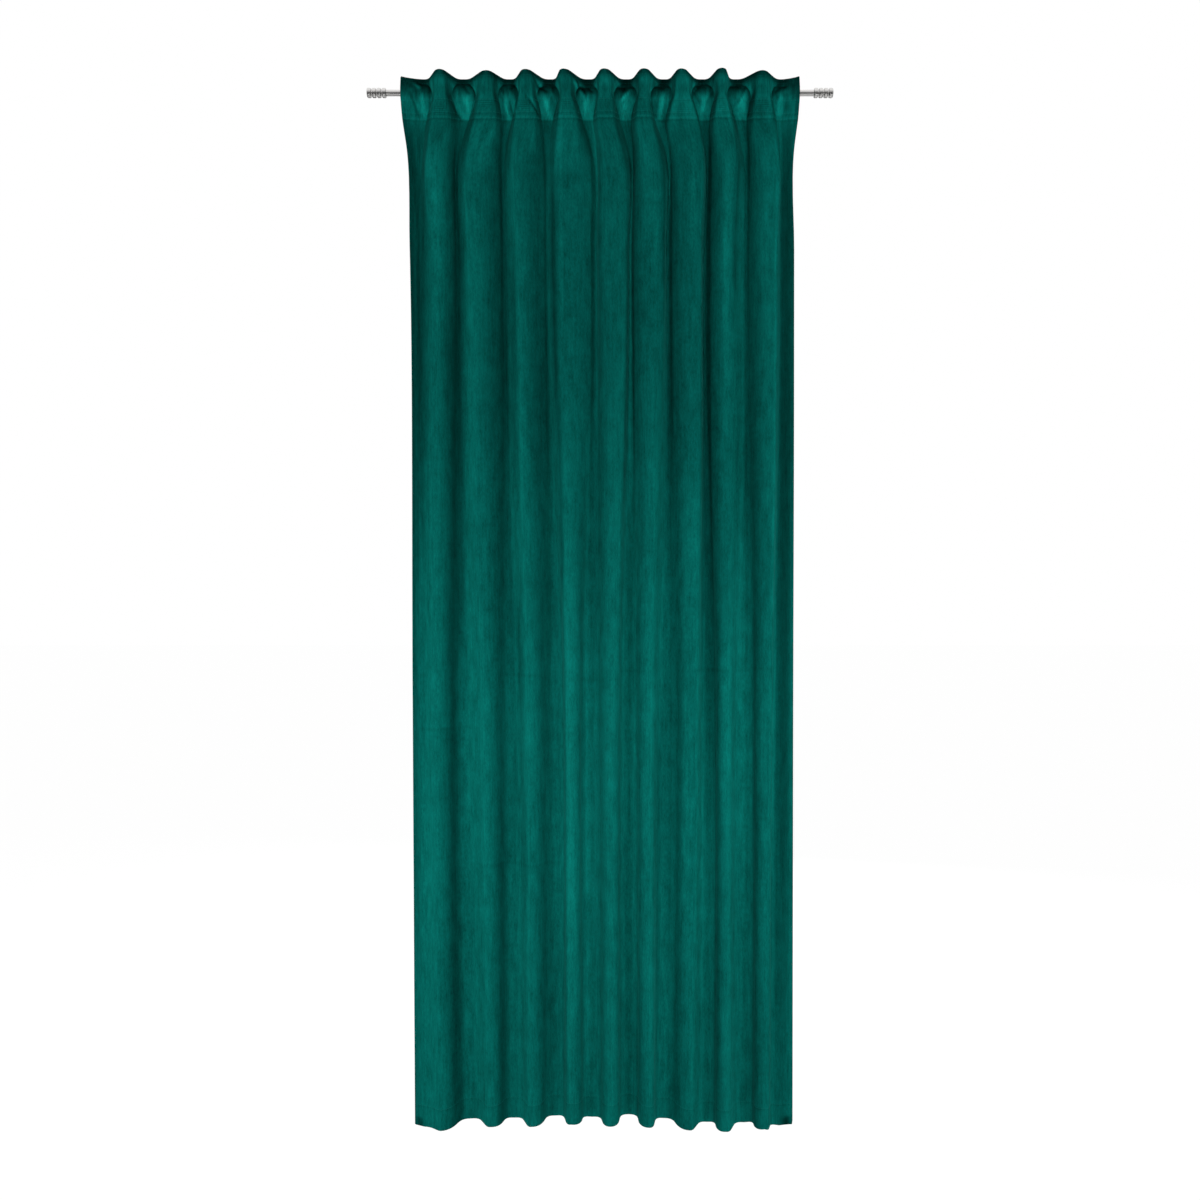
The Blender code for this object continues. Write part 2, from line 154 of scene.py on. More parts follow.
world = bpy.data.worlds.new("surroundings")
scene.world = world
world.use_nodes = True
world_tree = world.node_tree
world_seen = add_node(world_tree, "ShaderNodeLightPath").outputs
world_way = add_node(world_tree, "ShaderNodeTexCoord").outputs["Generated"]
world_rise = add_node(world_tree, "ShaderNodeSeparateXYZ", {0: world_way}).outputs["Z"]
world_mirrored = between(world_tree, world_rise, MIRRORED_LOW, MIRRORED_HIGH, MIRRORED_TOP)
world_unseen = between(world_tree, world_seen["Is Glossy Ray"], SURROUNDINGS_LIGHT, world_mirrored)
world_strength = between(world_tree, world_seen["Is Camera Ray"], world_unseen, 1.0)
fill(world_tree, world_tree.nodes["Background"], {"Color": (1, 1, 1, 1), "Strength": world_strength})

for name, x, y, z, aim_x, aim_z, width, height, watts in LAMPS:
    lamp = bpy.data.objects.new(name, bpy.data.lights.new(name, "AREA"))
    lamp.data.shape = "RECTANGLE"
    lamp.data.size = width
    lamp.data.size_y = height
    lamp.data.energy = watts
    lamp.location = (x, y, z)
    lamp.rotation_euler = Vector((aim_x - x, -y, aim_z - z)).to_track_quat("-Z", "Y").to_euler()
    lamp.visible_camera = False
    lamp.visible_glossy = False
    scene.collection.objects.link(lamp)

# The panel is one cut of short-pile velvet, turned over and stitched at its sides, heading and hem.
# Loops behind the heading gather it into nine soft folds that hang free to the hem. It is a closed
# thin shell on the same fold lines as the solid, with finer creases, pouches and seams.
MM = 0.001
CLOTH_THICKNESS = 1.6 * MM
FLAT_SIZE = (1.40, 2.45)
FOLD_CLOTH = 144 * MM
HALF_FOLD_STEPS = 24
EDGE_STEPS = 20
HEADING_ROWS = 48
FINE_STEPS = 240
CROWDING = 0.35
STEEPEST_LIMIT = 0.75 * pi
HALVINGS = 40
ROUNDING = 1e-9
EDGE_CURL = 0.65
LEAN = 0.5
LEAN_SHIFT = 6 * MM
LEAN_REACH = 150 * MM
LEANS = (-1, -1, -1, -0.8, 0, 0.6, 1, 1, 1)
DROP_REACH = 700 * MM
SECTIONS = (
    # height, valley floor, crest's dip: mm; shares of a half fold: back, front, back bend, front bend
    (31, -1, 0, 0.06, 0.00, 0.34, 0.26),
    (18, -6, 1, 0.10, 0.05, 0.28, 0.30),
    (4, -11, 5, 0.27, 0.10, 0.14, 0.16),
    (-12, -13, 8, 0.34, 0.10, 0.12, 0.16),
    (-34, -9, 10, 0.26, 0.18, 0.12, 0.18),
    (-66, -3, 11, 0.14, 0.28, 0.14, 0.20),
    (-130, 4, 7, 0.04, 0.24, 0.12, 0.34),
    (-370, 10, 0, 0.00, 0.14, 0.12, 0.46),
    (-900, 12, 0, 0.03, 0.04, 0.20, 0.50),
    (-1300, 13, 0, 0.10, 0.02, 0.34, 0.46),
    (-1700, 14, 0, 0.12, 0.02, 0.38, 0.44),
    (-2413, 14, 2, 0.10, 0.02, 0.40, 0.44),
)
FRONT_HEIGHTS = (31, -14, -66, -200, -900, -2413)
FRONTS = (
    # each fold's extra flat front at those heights, in percent of a half fold
    (0, 3, -6, -6, 0, 0),
    (0, 7, 0, 0, 0, 0),
    (0, 7, 0, -6, 0, 0),
    (0, 0, -4, 12, 4, 0),
    (0, 6, -8, 4, 2, 0),
    (0, -1, -10, 4, 0, 0),
    (0, 9, 12, 6, 2, 0),
    (0, -4, -6, -6, 0, 0),
    (0, 7, 0, -4, 0, 0),
)
LINE_HEIGHTS = (31, -66, -130, -370, -1420, -2413)
CRESTS = (
    # mm from the rod's middle at the line heights, from the top edge to the hem, and the hem's drop
    (-371, -369, -378, -376, -378, -365, 13),
    (-263, -264, -282, -283, -264, -248, 3),
    (-173, -172, -183, -181, -160, -153, 2),
    (-85, -74, -79, -79, -67, -62, -5),
    (9, 13, 23, 31, 26, 26, 0),
    (101, 101, 111, 119, 109, 109, 2),
    (187, 192, 204, 213, 215, 202, 11),
    (281, 281, 292, 290, 288, 286, 12),
    (376, 379, 389, 391, 384, 376, 5),
)
VALLEYS = (
    # the same for the valley floors
    (-417, -420, -422, -423, -421, -410, 6),
    (-321, -321, -335, -337, -321, -305, 6),
    (-212, -218, -226, -227, -208, -203, 4),
    (-116, -123, -125, -125, -104, -105, -1),
    (-26, -28, -14, -10, -23, -19, 2),
    (63, 60, 72, 72, 68, 68, -4),
    (151, 141, 157, 159, 158, 151, 5),
    (240, 245, 251, 247, 257, 254, 14),
    (319, 331, 340, 345, 343, 342, 15),
    (428, 425, 427, 428, 424, 422, 18),
)
EDGES = (
    # the same for the side edges
    (-465, -461, -451, -442, -435, -430, 0),
    (465, 462, 455, 456, 454, 452, 13),
)
# How far back the outer valleys and the side edges are shifted, left then right, at the line heights: mm
OUTER_VALLEY_SHIFTS = ((0, 0, -2, -12, -28, -34), (0, 0, 0, -2, -4, -8))
EDGE_SHIFTS = ((-14, -10, -20, -34, -38, -36), (-14, -10, -9, -8, -10, -12))
ROW_RUNS = (
    # from height, to height, rows between: mm
    (31, -76, 44),
    (-76, -200, 12),
    (-200, -1344, 27),
    (-1344, -1390, 14),
    (-1390, -1474, 3),
    (-1474, -1504, 10),
    (-1504, -1786, 6),
    (-1786, -1824, 11),
    (-1824, -1994, 4),
    (-1994, -2016, 6),
    (-2016, -2354, 8),
    (-2354, -2376, 8),
    (-2376, -2413, 5),
)


def smooth_column(heights, values, at):
    """A cubic curve through values at falling heights in mm, with the slopes of their neighbours."""
    heights = -np.asarray(heights, float) * MM
    values = np.asarray(values, float)
    slopes = np.gradient(values, heights)
    place = np.clip(np.searchsorted(heights, -at, side="right") - 1, 0, len(heights) - 2)
    span = heights[place + 1] - heights[place]
    t = (-at - heights[place]) / span
    start = (1 + 2 * t) * (1 - t) ** 2 * values[place] + t * (1 - t) ** 2 * span * slopes[place]
    end = t * t * (3 - 2 * t) * values[place + 1] - t * t * (1 - t) * span * slopes[place + 1]
    return start + end


def ease(share):
    """Three times the share squared less twice its cube, from 0 to 1."""
    share = np.clip(share, 0.0, 1.0)
    return share * share * (3.0 - 2.0 * share)


def turn(share):
    """The sine of a share of a right angle, from 0 to 1."""
    return np.sin(np.clip(share, 0.0, 1.0) * pi / 2)


def bell(distance, width):
    """One at no distance, falling as the normal curve does."""
    return np.exp(-((distance / width) ** 2))


def half_fold(span, cloth, back, front, back_bend, front_bend, steps):
    """The line of cloth from a valley's floor to a crest, as shares of its width and its depth.

    The cloth's angle to the front is the steepest angle times a rise over the bend that follows
    the flat back, times a fall over the bend before the flat front. The steepest angle is found by
    halving, so that the mean cosine times the length of cloth is the span.
    """
    t = (np.arange(FINE_STEPS) + 0.5) / FINE_STEPS
    wall = turn((t - back[..., None]) / back_bend[..., None])
    wall = wall * turn((1.0 - front[..., None] - t) / front_bend[..., None])
    low = np.zeros_like(span)
    high = np.full_like(span, STEEPEST_LIMIT)
    for _ in range(HALVINGS):
        steepest = (low + high) / 2
        reach = cloth * np.cos(steepest[..., None] * wall).mean(-1)
        low = np.where(reach > span, steepest, low)
        high = np.where(reach > span, high, steepest)
    angle = steepest[..., None] * wall
    turning = np.abs(np.gradient(angle, axis=-1))
    pace = np.cumsum(1 + CROWDING * turning / turning.mean(-1, keepdims=True), -1)
    marks = np.arange(1, steps + 1) / steps
    place = (pace[..., None, :] / pace[..., None, -1:] < marks[:, None] - ROUNDING).sum(-1)
    across = np.take_along_axis(np.cumsum(np.cos(angle), -1), place, -1)
    deep = np.take_along_axis(np.cumsum(np.sin(angle), -1), place, -1)
    depth = cloth * np.sin(angle).mean(-1)
    return across / across[..., -1:], deep / deep[..., -1:], depth


def lines_at(table, heights, z):
    """Values of each line of a table at each height, one column for each line, mm to metres."""
    return np.stack([smooth_column(heights, row, z) for row in table], 1) * MM


def carry(start, end, share):
    """Places between the two ends of a span, at shares of it, for each height."""
    return start[:, None] + (end - start)[:, None] * share


def hem_drop(steps, edge_steps):
    """How far the hem hangs below its level at each column, straight from one fold line to the next."""
    lines = [row for pair in zip(VALLEYS, CRESTS) for row in pair] + [VALLEYS[-1]]
    drops = [EDGES[0][-1]] + [row[-1] for row in lines] + [EDGES[1][-1]]
    columns = [0] + [edge_steps + steps * line for line in range(len(lines))]
    columns.append(columns[-1] + edge_steps)
    return np.interp(np.arange(columns[-1] + 1), columns, drops) * MM


def hung_cloth(z, steps, edge_steps):
    """Points of the hanging cloth, one row for each height and one column across the cloth.

    Half folds run from valley to crest and back, each fold leans a little to its own side, and
    flaps curl from the outer valleys to the side edges. The crests hang lower by the dip, and the
    hem by its drop.
    """
    section_heights, *columns = zip(*SECTIONS)
    level, dip, *shares = (smooth_column(section_heights, column, z) for column in columns)
    level, dip = level * MM, dip * MM
    back, front, back_bend, front_bend = (np.repeat(share[:, None], len(CRESTS), 1) for share in shares)
    front = front + lines_at(np.array(FRONTS) / 100, FRONT_HEIGHTS, z) / MM
    lean = np.array(LEANS) * ease((z[0] - z) / LEAN_REACH)[:, None]
    crest_x, valley_x, edge_x = (
        lines_at([row[:-1] for row in table], LINE_HEIGHTS, z) for table in (CRESTS, VALLEYS, EDGES)
    )
    crest_x += lean * LEAN_SHIFT
    valley_y = np.repeat(level[:, None], len(VALLEYS), 1)
    valley_y[:, [0, -1]] += lines_at(OUTER_VALLEY_SHIFTS, LINE_HEIGHTS, z)
    edge_y = level[:, None] + lines_at(EDGE_SHIFTS, LINE_HEIGHTS, z)

    spans = (crest_x - valley_x[:, :-1], valley_x[:, 1:] - crest_x)
    middle = (spans[0] + spans[1]) / 2
    left, right = (
        half_fold(
            span,
            FOLD_CLOTH / 2 + span - middle,
            back,
            front,
            back_bend,
            front_bend * (1 + side * LEAN * lean),
            steps,
        )
        for span, side in zip(spans, (1, -1))
    )
    crest_y = level[:, None] - (left[2] + right[2]) / 2

    x, y = [valley_x[:, :1]], [valley_y[:, :1]]
    for fold in range(len(CRESTS)):
        x.append(carry(valley_x[:, fold], crest_x[:, fold], left[0][:, fold]))
        y.append(carry(valley_y[:, fold], crest_y[:, fold], left[1][:, fold]))
        across, deep = (
            np.concatenate([share[:, fold, -2::-1], np.zeros((len(z), 1))], 1) for share in right[:2]
        )
        x.append(carry(valley_x[:, fold + 1], crest_x[:, fold], across))
        y.append(carry(valley_y[:, fold + 1], crest_y[:, fold], deep))

    t = np.arange(1, edge_steps + 1) / edge_steps
    curl = (1 - EDGE_CURL) * t + EDGE_CURL * t * t
    left_x, right_x = (carry(valley_x[:, side], edge_x[:, side], t) for side in (0, -1))
    left_y, right_y = (carry(valley_y[:, side], edge_y[:, side], curl) for side in (0, -1))
    x = np.concatenate([left_x[:, ::-1], *x, right_x], 1)
    y = np.concatenate([left_y[:, ::-1], *y, right_y], 1)

    stand = ease((level[:, None] - y) / (level[:, None] - crest_y.mean(1, keepdims=True)))
    drop = hem_drop(steps, edge_steps) * ease(1 - (z[:, None] - z[-1]) / DROP_REACH)
    return np.stack([x, y, z[:, None] - dip[:, None] * stand - drop], -1)


def outward(points):
    """Unit normals of a grid of points, towards the room: the slope down the cloth times across."""
    down = np.gradient(points, axis=0)
    across = np.gradient(points, axis=1)
    normal = np.cross(down, across)
    return normal / np.linalg.norm(normal, axis=-1, keepdims=True)


def sheet_faces(at, fine_rows):
    """Faces of a grid of point numbers. Rows below the fine ones keep every second column.

    Where the two meet, each face has five corners: two below and three above.
    """
    if fine_rows == len(at):
        return [grid_faces(at)]
    above, below = at[fine_rows - 1], at[fine_rows, ::2]
    join = np.stack([above[:-2:2], below[:-1], below[1:], above[2::2], above[1::2]], -1)
    return [grid_faces(at[:fine_rows]), join, grid_faces(at[fine_rows:, ::2])]


def shell_mesh(name, front, behind, material, across, down, fine_rows=None, **marks):
    """A closed sheet between two grids of points, with a rounded rim of one extra line of points.

    Its texture coordinates are the places across and down the sheet, as shares of its flat size.
    A mark is a value for each point of the front and another for the back, stored under its name.
    """
    rows, columns = front.shape[:2]
    fine_rows = fine_rows or rows
    step = 1 if fine_rows == rows else 2
    at = np.arange(rows * columns).reshape(rows, columns)
    rim = np.concatenate([at[0, :-1], at[:-1, -1], at[-1, :0:-step], at[:0:-1, 0]])
    inner = np.concatenate([at[1, :-1], at[:-1, -3], at[-2, :0:-step], at[:0:-1, 2]])
    middle = (front + behind).reshape(-1, 3) / 2
    thick = np.linalg.norm((front - behind).reshape(-1, 3)[rim], axis=-1, keepdims=True)
    away = middle[rim] - middle[inner]
    away /= np.linalg.norm(away, axis=-1, keepdims=True)
    edge = middle[rim] + away * thick / 2
    points = np.concatenate([front.reshape(-1, 3), behind.reshape(-1, 3), edge])
    line = 2 * at.size + np.arange(len(rim))
    after, rim_after = np.roll(line, -1), np.roll(rim, -1)
    faces = sheet_faces(at, fine_rows)
    faces += [part[:, ::-1] + at.size for part in faces]
    faces.append(np.stack([rim, rim_after, after, line], -1))
    faces.append(np.stack([line, after, rim_after + at.size, rim + at.size], -1))
    kept, numbers = np.unique(np.concatenate([part.ravel() for part in faces]), return_inverse=True)
    parts = np.split(numbers.ravel(), np.cumsum([part.size for part in faces])[:-1])
    faces = [part.reshape(face.shape) for part, face in zip(parts, faces)]
    piece = add_piece(name, points[kept], faces, material)
    flat = np.stack(np.broadcast_arrays(across, np.asarray(down)[:, None]), -1).reshape(-1, 2)
    corners = np.empty(len(piece.data.loops), np.int32)
    piece.data.loops.foreach_get("vertex_index", corners)
    layer = piece.data.uv_layers.new(name="cloth")
    flat = np.concatenate([flat, flat, flat[rim]])[kept][corners]
    layer.data.foreach_set("uv", flat.ravel().astype(np.float32))
    for mark, (ahead, back) in marks.items():
        ahead, back = (np.broadcast_to(value, front.shape[:2]).ravel() for value in (ahead, back))
        stored = piece.data.attributes.new(mark, "FLOAT", "POINT")
        values = np.concatenate([ahead, back, ahead[rim]])[kept]
        stored.data.foreach_set("value", values.astype(np.float32))
    return piece


row_runs = [np.linspace(top, bottom, rows, endpoint=False) for top, bottom, rows in ROW_RUNS]
heights = np.concatenate([*row_runs, [ROW_RUNS[-1][1]]])
cloth = hung_cloth(heights * MM, HALF_FOLD_STEPS, EDGE_STEPS)

# Where each column lies across the folds: valley n is at n and crest n is halfway to the next one.
FLAP_SHARE = 0.36
flap = FLAP_SHARE * np.arange(EDGE_STEPS, 0, -1) / EDGE_STEPS
gathered_place = np.arange(2 * HALF_FOLD_STEPS * len(CRESTS) + 1) / (2 * HALF_FOLD_STEPS)
fold_place = np.concatenate([-flap, gathered_place, len(CRESTS) + flap[::-1]])
cloth_across = (fold_place + FLAP_SHARE) * FOLD_CLOTH / FLAT_SIZE[0]
POUCHES = (
    # valley, sideways of it, its drift down the pouch, forward, half width, top, bottom: mm of cloth
    (0, 8, 0, 6, 15, 13, -62),
    (1, 0, 9, 11, 18, 16, -65),
    (2, 0, 2, 10, 14, 14, -64),
    (3, -6, 8, 12, 15, 8, -65),
    (4, -4, 6, 12, 16, 6, -65),
    (5, 0, 0, 12, 16, 7, -65),
    (6, -4, 6, 11, 14, 9, -64),
    (7, 0, 0, 12, 16, 11, -65),
    (8, 3, 0, 12, 17, 10, -65),
    (9, -4, 0, 9, 15, 9, -58),
)
POUCH_NARROWING = 0.6
POUCH_RISE = 0.7
POUCH_SHARPNESS = 1.2
HEM_STITCH = -2365
SEAMS = (
    # height, depth, half width: mm
    (-66, 0.55, 2.6),
    (-53, 0.25, 2.2),
    (-26, 0.15, 2.0),
    (HEM_STITCH, 0.3, 2.5),
)
PACKING_CREASES = (
    # height, from and to a place across in folds, forward, half width: mm; change of tone in percent, a
    # painted shade
    (-1352, 7.8, 8.8, -0.12, 4.5, -10),
    (-1356, 6.3, 7.7, -0.15, 4.5, -14),
    (-1359, 4.6, 5.8, -0.12, 4.5, -10),
    (-1380, 3.6, 4.4, -0.12, 4.5, -14),
    (-1368, 1.8, 2.9, -0.12, 4.5, -10),
    (-1484, 2.9, 3.8, -0.15, 4.0, -6),
    (-1492, -0.2, 1.0, -0.32, 4.5, -8),
    (-1797, 0.2, 0.9, 0.20, 4.0, -5),
    (-1810, 1.1, 3.2, -0.35, 4.5, -5),
    (-2005, 1.3, 2.3, -0.20, 4.0, -6),
)
CREASE_END = 0.3
SIDE_HEM_STEPS = 4
SIDE_DIMPLE = 0.4
PUCKER_DEPTH = 0.35 * MM
PUCKER_WIDTH = 9 * MM
PUCKER_HEIGHT = -60
PUCKER_REACH = 9
HEADING_CREASES = (
    # from sideways and height, to sideways and height, half width, forward: mm; change of tone: percent,
    # positive for a painted highlight, negative for a painted shade
    (-440, 22, -417, 3, 4, 3, 35),
    (-417, 8, -409, -60, 3.5, 2.6, 35),
    (-446, 8, -422, -66, 5, -1.8, -40),
    (-398, 18, -398, -44, 3.5, -1.5, -30),
    (-337, 16, -316, -70, 3.5, 2.4, 30),
    (-350, -20, -324, -70, 3.5, -2, -35),
    (-324, 20, -304, -16, 4, -2, -35),
    (-288, 8, -296, -68, 3.5, -1.5, -30),
    (-234, 10, -210, -70, 3.5, 2.6, 40),
    (-204, 4, -193, -70, 3.5, 2, 25),
    (-219, 12, -203, -62, 3, -2, -40),
    (-196, 20, -212, -6, 3.5, -1.6, -35),
    (-170, -24, -138, -70, 3.5, -2, -35),
    (-154, 18, -118, -14, 4.5, -2.6, -45),
    (-121, 18, -107, -22, 3.5, 2.2, 30),
    (-126, -12, -122, -68, 5, 2, 20),
    (-64, 20, -34, -20, 4, 2.6, 40),
    (-50, 14, -10, -10, 4.5, -2.4, -40),
    (-8, 8, -20, -44, 3.5, 2, 30),
    (-40, -18, -32, -70, 5, 1.8, 15),
    (82, 8, 42, -32, 3.5, 2.6, 35),
    (36, 16, 66, -10, 4, -2.4, -35),
    (55, -22, 59, -72, 5, 1.6, 15),
    (122, 18, 152, -6, 4.5, -2.4, -45),
    (148, 2, 141, -62, 4.5, 2.2, 25),
    (118, -18, 136, -68, 3.5, -1.8, -35),
    (242, 20, 218, -10, 4, -2.6, -45),
    (217, 0, 236, -32, 3.5, -2.4, -45),
    (251, 16, 253, -30, 4.5, 2.2, 25),
    (234, -28, 243, -70, 4, 1.8, 15),
    (266, 4, 249, -34, 3.5, -2, -40),
    (300, 14, 330, 0, 5, -2.4, -45),
    (348, 8, 318, -44, 4, 2.4, 25),
    (359, 2, 346, -68, 3.5, -1.6, -35),
    (402, -10, 442, 16, 5, -2.2, -40),
    (421, 10, 424, -30, 4.5, 2.2, 30),
    (451, 24, 449, -34, 4, -1.4, -25),
)
# Painted shadows and painted highlights on the heading, in soft lines from one place to another.
HEADING_PAINTED_SHADING = (
    # the same without the forward
    (-432, 6, -427, -36, 6, -50),
    (-404, 36, -395, -16, 3, -50),
    (-336, 6, -312, -62, 8, -45),
    (-316, 18, -306, -4, 6, 45),
    (-303, 30, -293, 0, 3.5, -50),
    (-300, 12, -297, -48, 4.5, 80),
    (-243, 30, -241, -4, 3, -40),
    (-227, 6, -225, -38, 4, -60),
    (-216, 26, -212, -2, 6, 80),
    (-204, 34, -199, -2, 3, -45),
    (-178, 32, -158, -16, 9, -30),
    (-149, 2, -143, -26, 3.5, 80),
    (-109, 36, -104, -4, 3, -45),
    (-53, 24, -52, -14, 4, -55),
    (-48, 8, -31, -20, 5, -85),
    (-46, 17, -34, 7, 4, 70),
    (-20, 12, -18, -20, 4, 60),
    (60, 8, 51, -16, 3.5, -75),
    (82, 28, 88, -2, 3, -40),
    (130, 30, 121, -4, 3.5, -45),
    (131, -22, 132, -66, 3.5, -50),
    (160, -2, 156, -68, 3.5, 60),
    (215, 30, 212, -6, 3.5, -55),
    (247, 30, 250, -4, 6, 60),
    (263, 26, 264, -6, 3, -55),
    (302, 30, 298, -2, 3, -30),
    (334, 22, 334, -4, 4, 55),
    (350, 12, 351, -20, 3.5, 70),
    (410, 30, 404, -2, 3, -40),
    (413, 16, 415, -18, 4, 80),
    (432, -2, 436, -50, 8, -35),
    (462, 4, 460, -66, 6, -40),
    (-390, -8, -391, -110, 6, 30),
    (-332, 6, -320, -62, 4, -40),
    (-307, 16, -304, -66, 5, 35),
    (-176, 36, -166, -62, 10, -30),
    (-83, 36, -77, -76, 10, -20),
    (11, 36, 12, -32, 9, -28),
    (44, 8, 50, -46, 4, 30),
    (132, 18, 126, -54, 4, 30),
    (187, 36, 190, -84, 10, -32),
    (222, 18, 233, -62, 4, 35),
    (244, 30, 250, -10, 4, 25),
    (296, -10, 300, -110, 6, 25),
    (334, 20, 320, -26, 5, 30),
    (390, 20, 393, -110, 7, 25),
    (434, 0, 437, -60, 8, -30),
)
CREASES = (
    # place and its drift down the crease in percent of a fold; top, bottom, half width, forward: mm
    (50, 4, -70, -420, 5, 1.4),
    (134, 3, -75, -520, 6, 1.8),
    (150, -2, -80, -360, 5, -1.2),
    (244, 2, -72, -230, 4, 1.6),
    (256, 8, -72, -170, 4, -1.3),
    (264, 12, -72, -150, 4, 1.3),
    (332, 0, -70, -420, 4, 1.8),
    (352, 2, -90, -600, 6, -1.2),
    (440, 2, -70, -500, 5, 1.2),
    (466, -2, -90, -700, 5, 1.4),
    (552, 2, -80, -400, 6, 1.2),
    (630, 0, -72, -420, 4, 1.6),
    (648, 10, -72, -190, 4, -1.6),
    (662, 0, -80, -620, 4, 1.6),
    (762, 0, -70, -420, 4, 1.8),
    (846, 3, -80, -500, 6, -1.2),
    (866, 0, -70, -700, 4, 1.8),
)
CREASE_FADE = 0.3


def window(along):
    """One along the middle of a crease, easing to nothing at its two ends."""
    return ease(along / CREASE_FADE) * ease((1 - along) / CREASE_FADE)


def way(start, stop):
    """The share of the way from one height in mm to another, for each row of the cloth."""
    return np.clip((start - heights[:, None]) / (start - stop), 0, 1)


def level_band(height, half_width):
    """A soft band along a height, for each row of the cloth: mm."""
    return bell(heights[:, None] - height, half_width)


def drawn(start_x, start_z, stop_x, stop_z, half_width):
    """A soft line between two places as the room sees them: mm."""
    run = np.array([stop_x - start_x, stop_z - start_z]) * MM
    from_start = cloth[..., [0, 2]] - np.array([start_x, start_z]) * MM
    along = from_start @ run / (run @ run)
    away = (from_start[..., 0] * run[1] - from_start[..., 1] * run[0]) / np.linalg.norm(run)
    return bell(away, half_width * MM) * window(along)


forward = np.zeros_like(cloth[..., 0])
# Painted light and shade along the heading's creases and lines and along the packing creases is gathered
# here.
painted_crease_shading = np.ones_like(forward)
for valley, sideways, drift, rise, half_width, top, bottom in POUCHES:
    down = way(top, bottom)
    reach = half_width * MM * (1 - POUCH_NARROWING * down)
    away = (fold_place - valley) * FOLD_CLOTH - (sideways + drift * down) * MM
    forward += rise * MM * np.sin(pi * down ** POUCH_RISE) ** POUCH_SHARPNESS * bell(away, reach)
for place, drift, top, bottom, half_width, rise in CREASES:
    down = way(top, bottom)
    away = (fold_place - (place + drift * down) / 100) * FOLD_CLOTH
    forward += rise * MM * bell(away, half_width * MM) * window(down)
for *line, rise, change in HEADING_CREASES:
    crease = drawn(*line)
    forward += rise * MM * crease
    painted_crease_shading *= 1 + change / 100 * crease
for *line, change in HEADING_PAINTED_SHADING:
    painted_crease_shading *= 1 + change / 100 * drawn(*line)
for height, start, stop, rise, half_width, change in PACKING_CREASES:
    along = ease((fold_place - start) / CREASE_END) * ease((stop - fold_place) / CREASE_END)
    crease = along * level_band(height, half_width)
    forward += rise * MM * crease
    painted_crease_shading *= 1 + change / 100 * crease
for height, depth, half_width in SEAMS:
    forward -= depth * MM * level_band(height, half_width)
forward[:, [SIDE_HEM_STEPS, -1 - SIDE_HEM_STEPS]] -= SIDE_DIMPLE * MM
pucker = np.cos(fold_place * FOLD_CLOTH / PUCKER_WIDTH * 2 * pi)
forward += PUCKER_DEPTH * pucker * level_band(PUCKER_HEIGHT, PUCKER_REACH)
cloth = cloth + outward(cloth) * forward[..., None]
facing = outward(cloth)

# The pile leans down the cloth and a little to each side, and the colour paints the sheen and shade this
# gives under lamps:
# where the cloth faces that way it is painted brighter, and where it faces up or to the middle painted
# darker. Painted shadows and painted highlights are added in places too.
DOWN_PAINTED_SHEEN = 1.9
SIDE_PAINTED_SHEEN = 0.35
PAINTED_SHEEN_PARTING = 0.12
PAINTED_SHEEN_RANGE = (0.35, 2.1)
# Painted light and shade that change down the cloth: the tone at each height in mm.
TONE_HEIGHTS = (31, -66, -160, -480, -950, -1400, -1900, -2413)
PAINTED_LIGHT_BY_HEIGHT = (1.0, 0.95, 0.96, 0.82, 0.90, 1.02, 0.96, 0.88)
# A painted sheen on the heading: its valleys painted brighter and the fronts of its folds darker, from
# just below the seam up.
HEADING_SHEEN_HEIGHTS = (-90, -66)
HEADING_PAINTED_SHEEN = 0.13
# A painted shadow in the tops of the valleys, above the rod's level.
VALLEY_SHADOW_HEIGHTS = (4, 16)
VALLEY_TOP_PAINTED_SHADOW = -0.45
# Painted shade and painted light down each valley, easing in down the heading to its seam; most valleys
# are painted darker.
VALLEY_SHADING_START = (-26, -66)
VALLEY_SHADING_HEIGHTS = (-66, -160, -480, -950, -1400, -1900, -2413)
VALLEY_PAINTED_SHADING = (
    # place, its drift to the hem, half width: percent of a fold; change of tone at each height: percent
    (-30, 0, 10, -10, -10, -15, -15, -10, -5, -10),
    (100, -20, 15, -10, -15, -25, -38, -30, -26, -26),
    (208, -30, 14, -10, -12, -22, -32, -22, -18, -20),
    (300, 0, 16, -10, -5, 0, -10, -5, 0, -5),
    (400, -10, 16, 0, 10, 12, 5, 20, 25, 15),
    (500, 20, 16, 0, 0, 10, 10, 15, 25, 10),
    (600, 0, 14, 0, 0, 0, -10, 0, 10, 5),
    (700, 0, 16, -15, -10, -15, -34, -5, 15, 5),
    (800, 0, 14, 0, 0, 5, 0, 20, 15, 5),
    (910, 0, 20, -10, -25, -40, -50, -50, -35, -15),
)
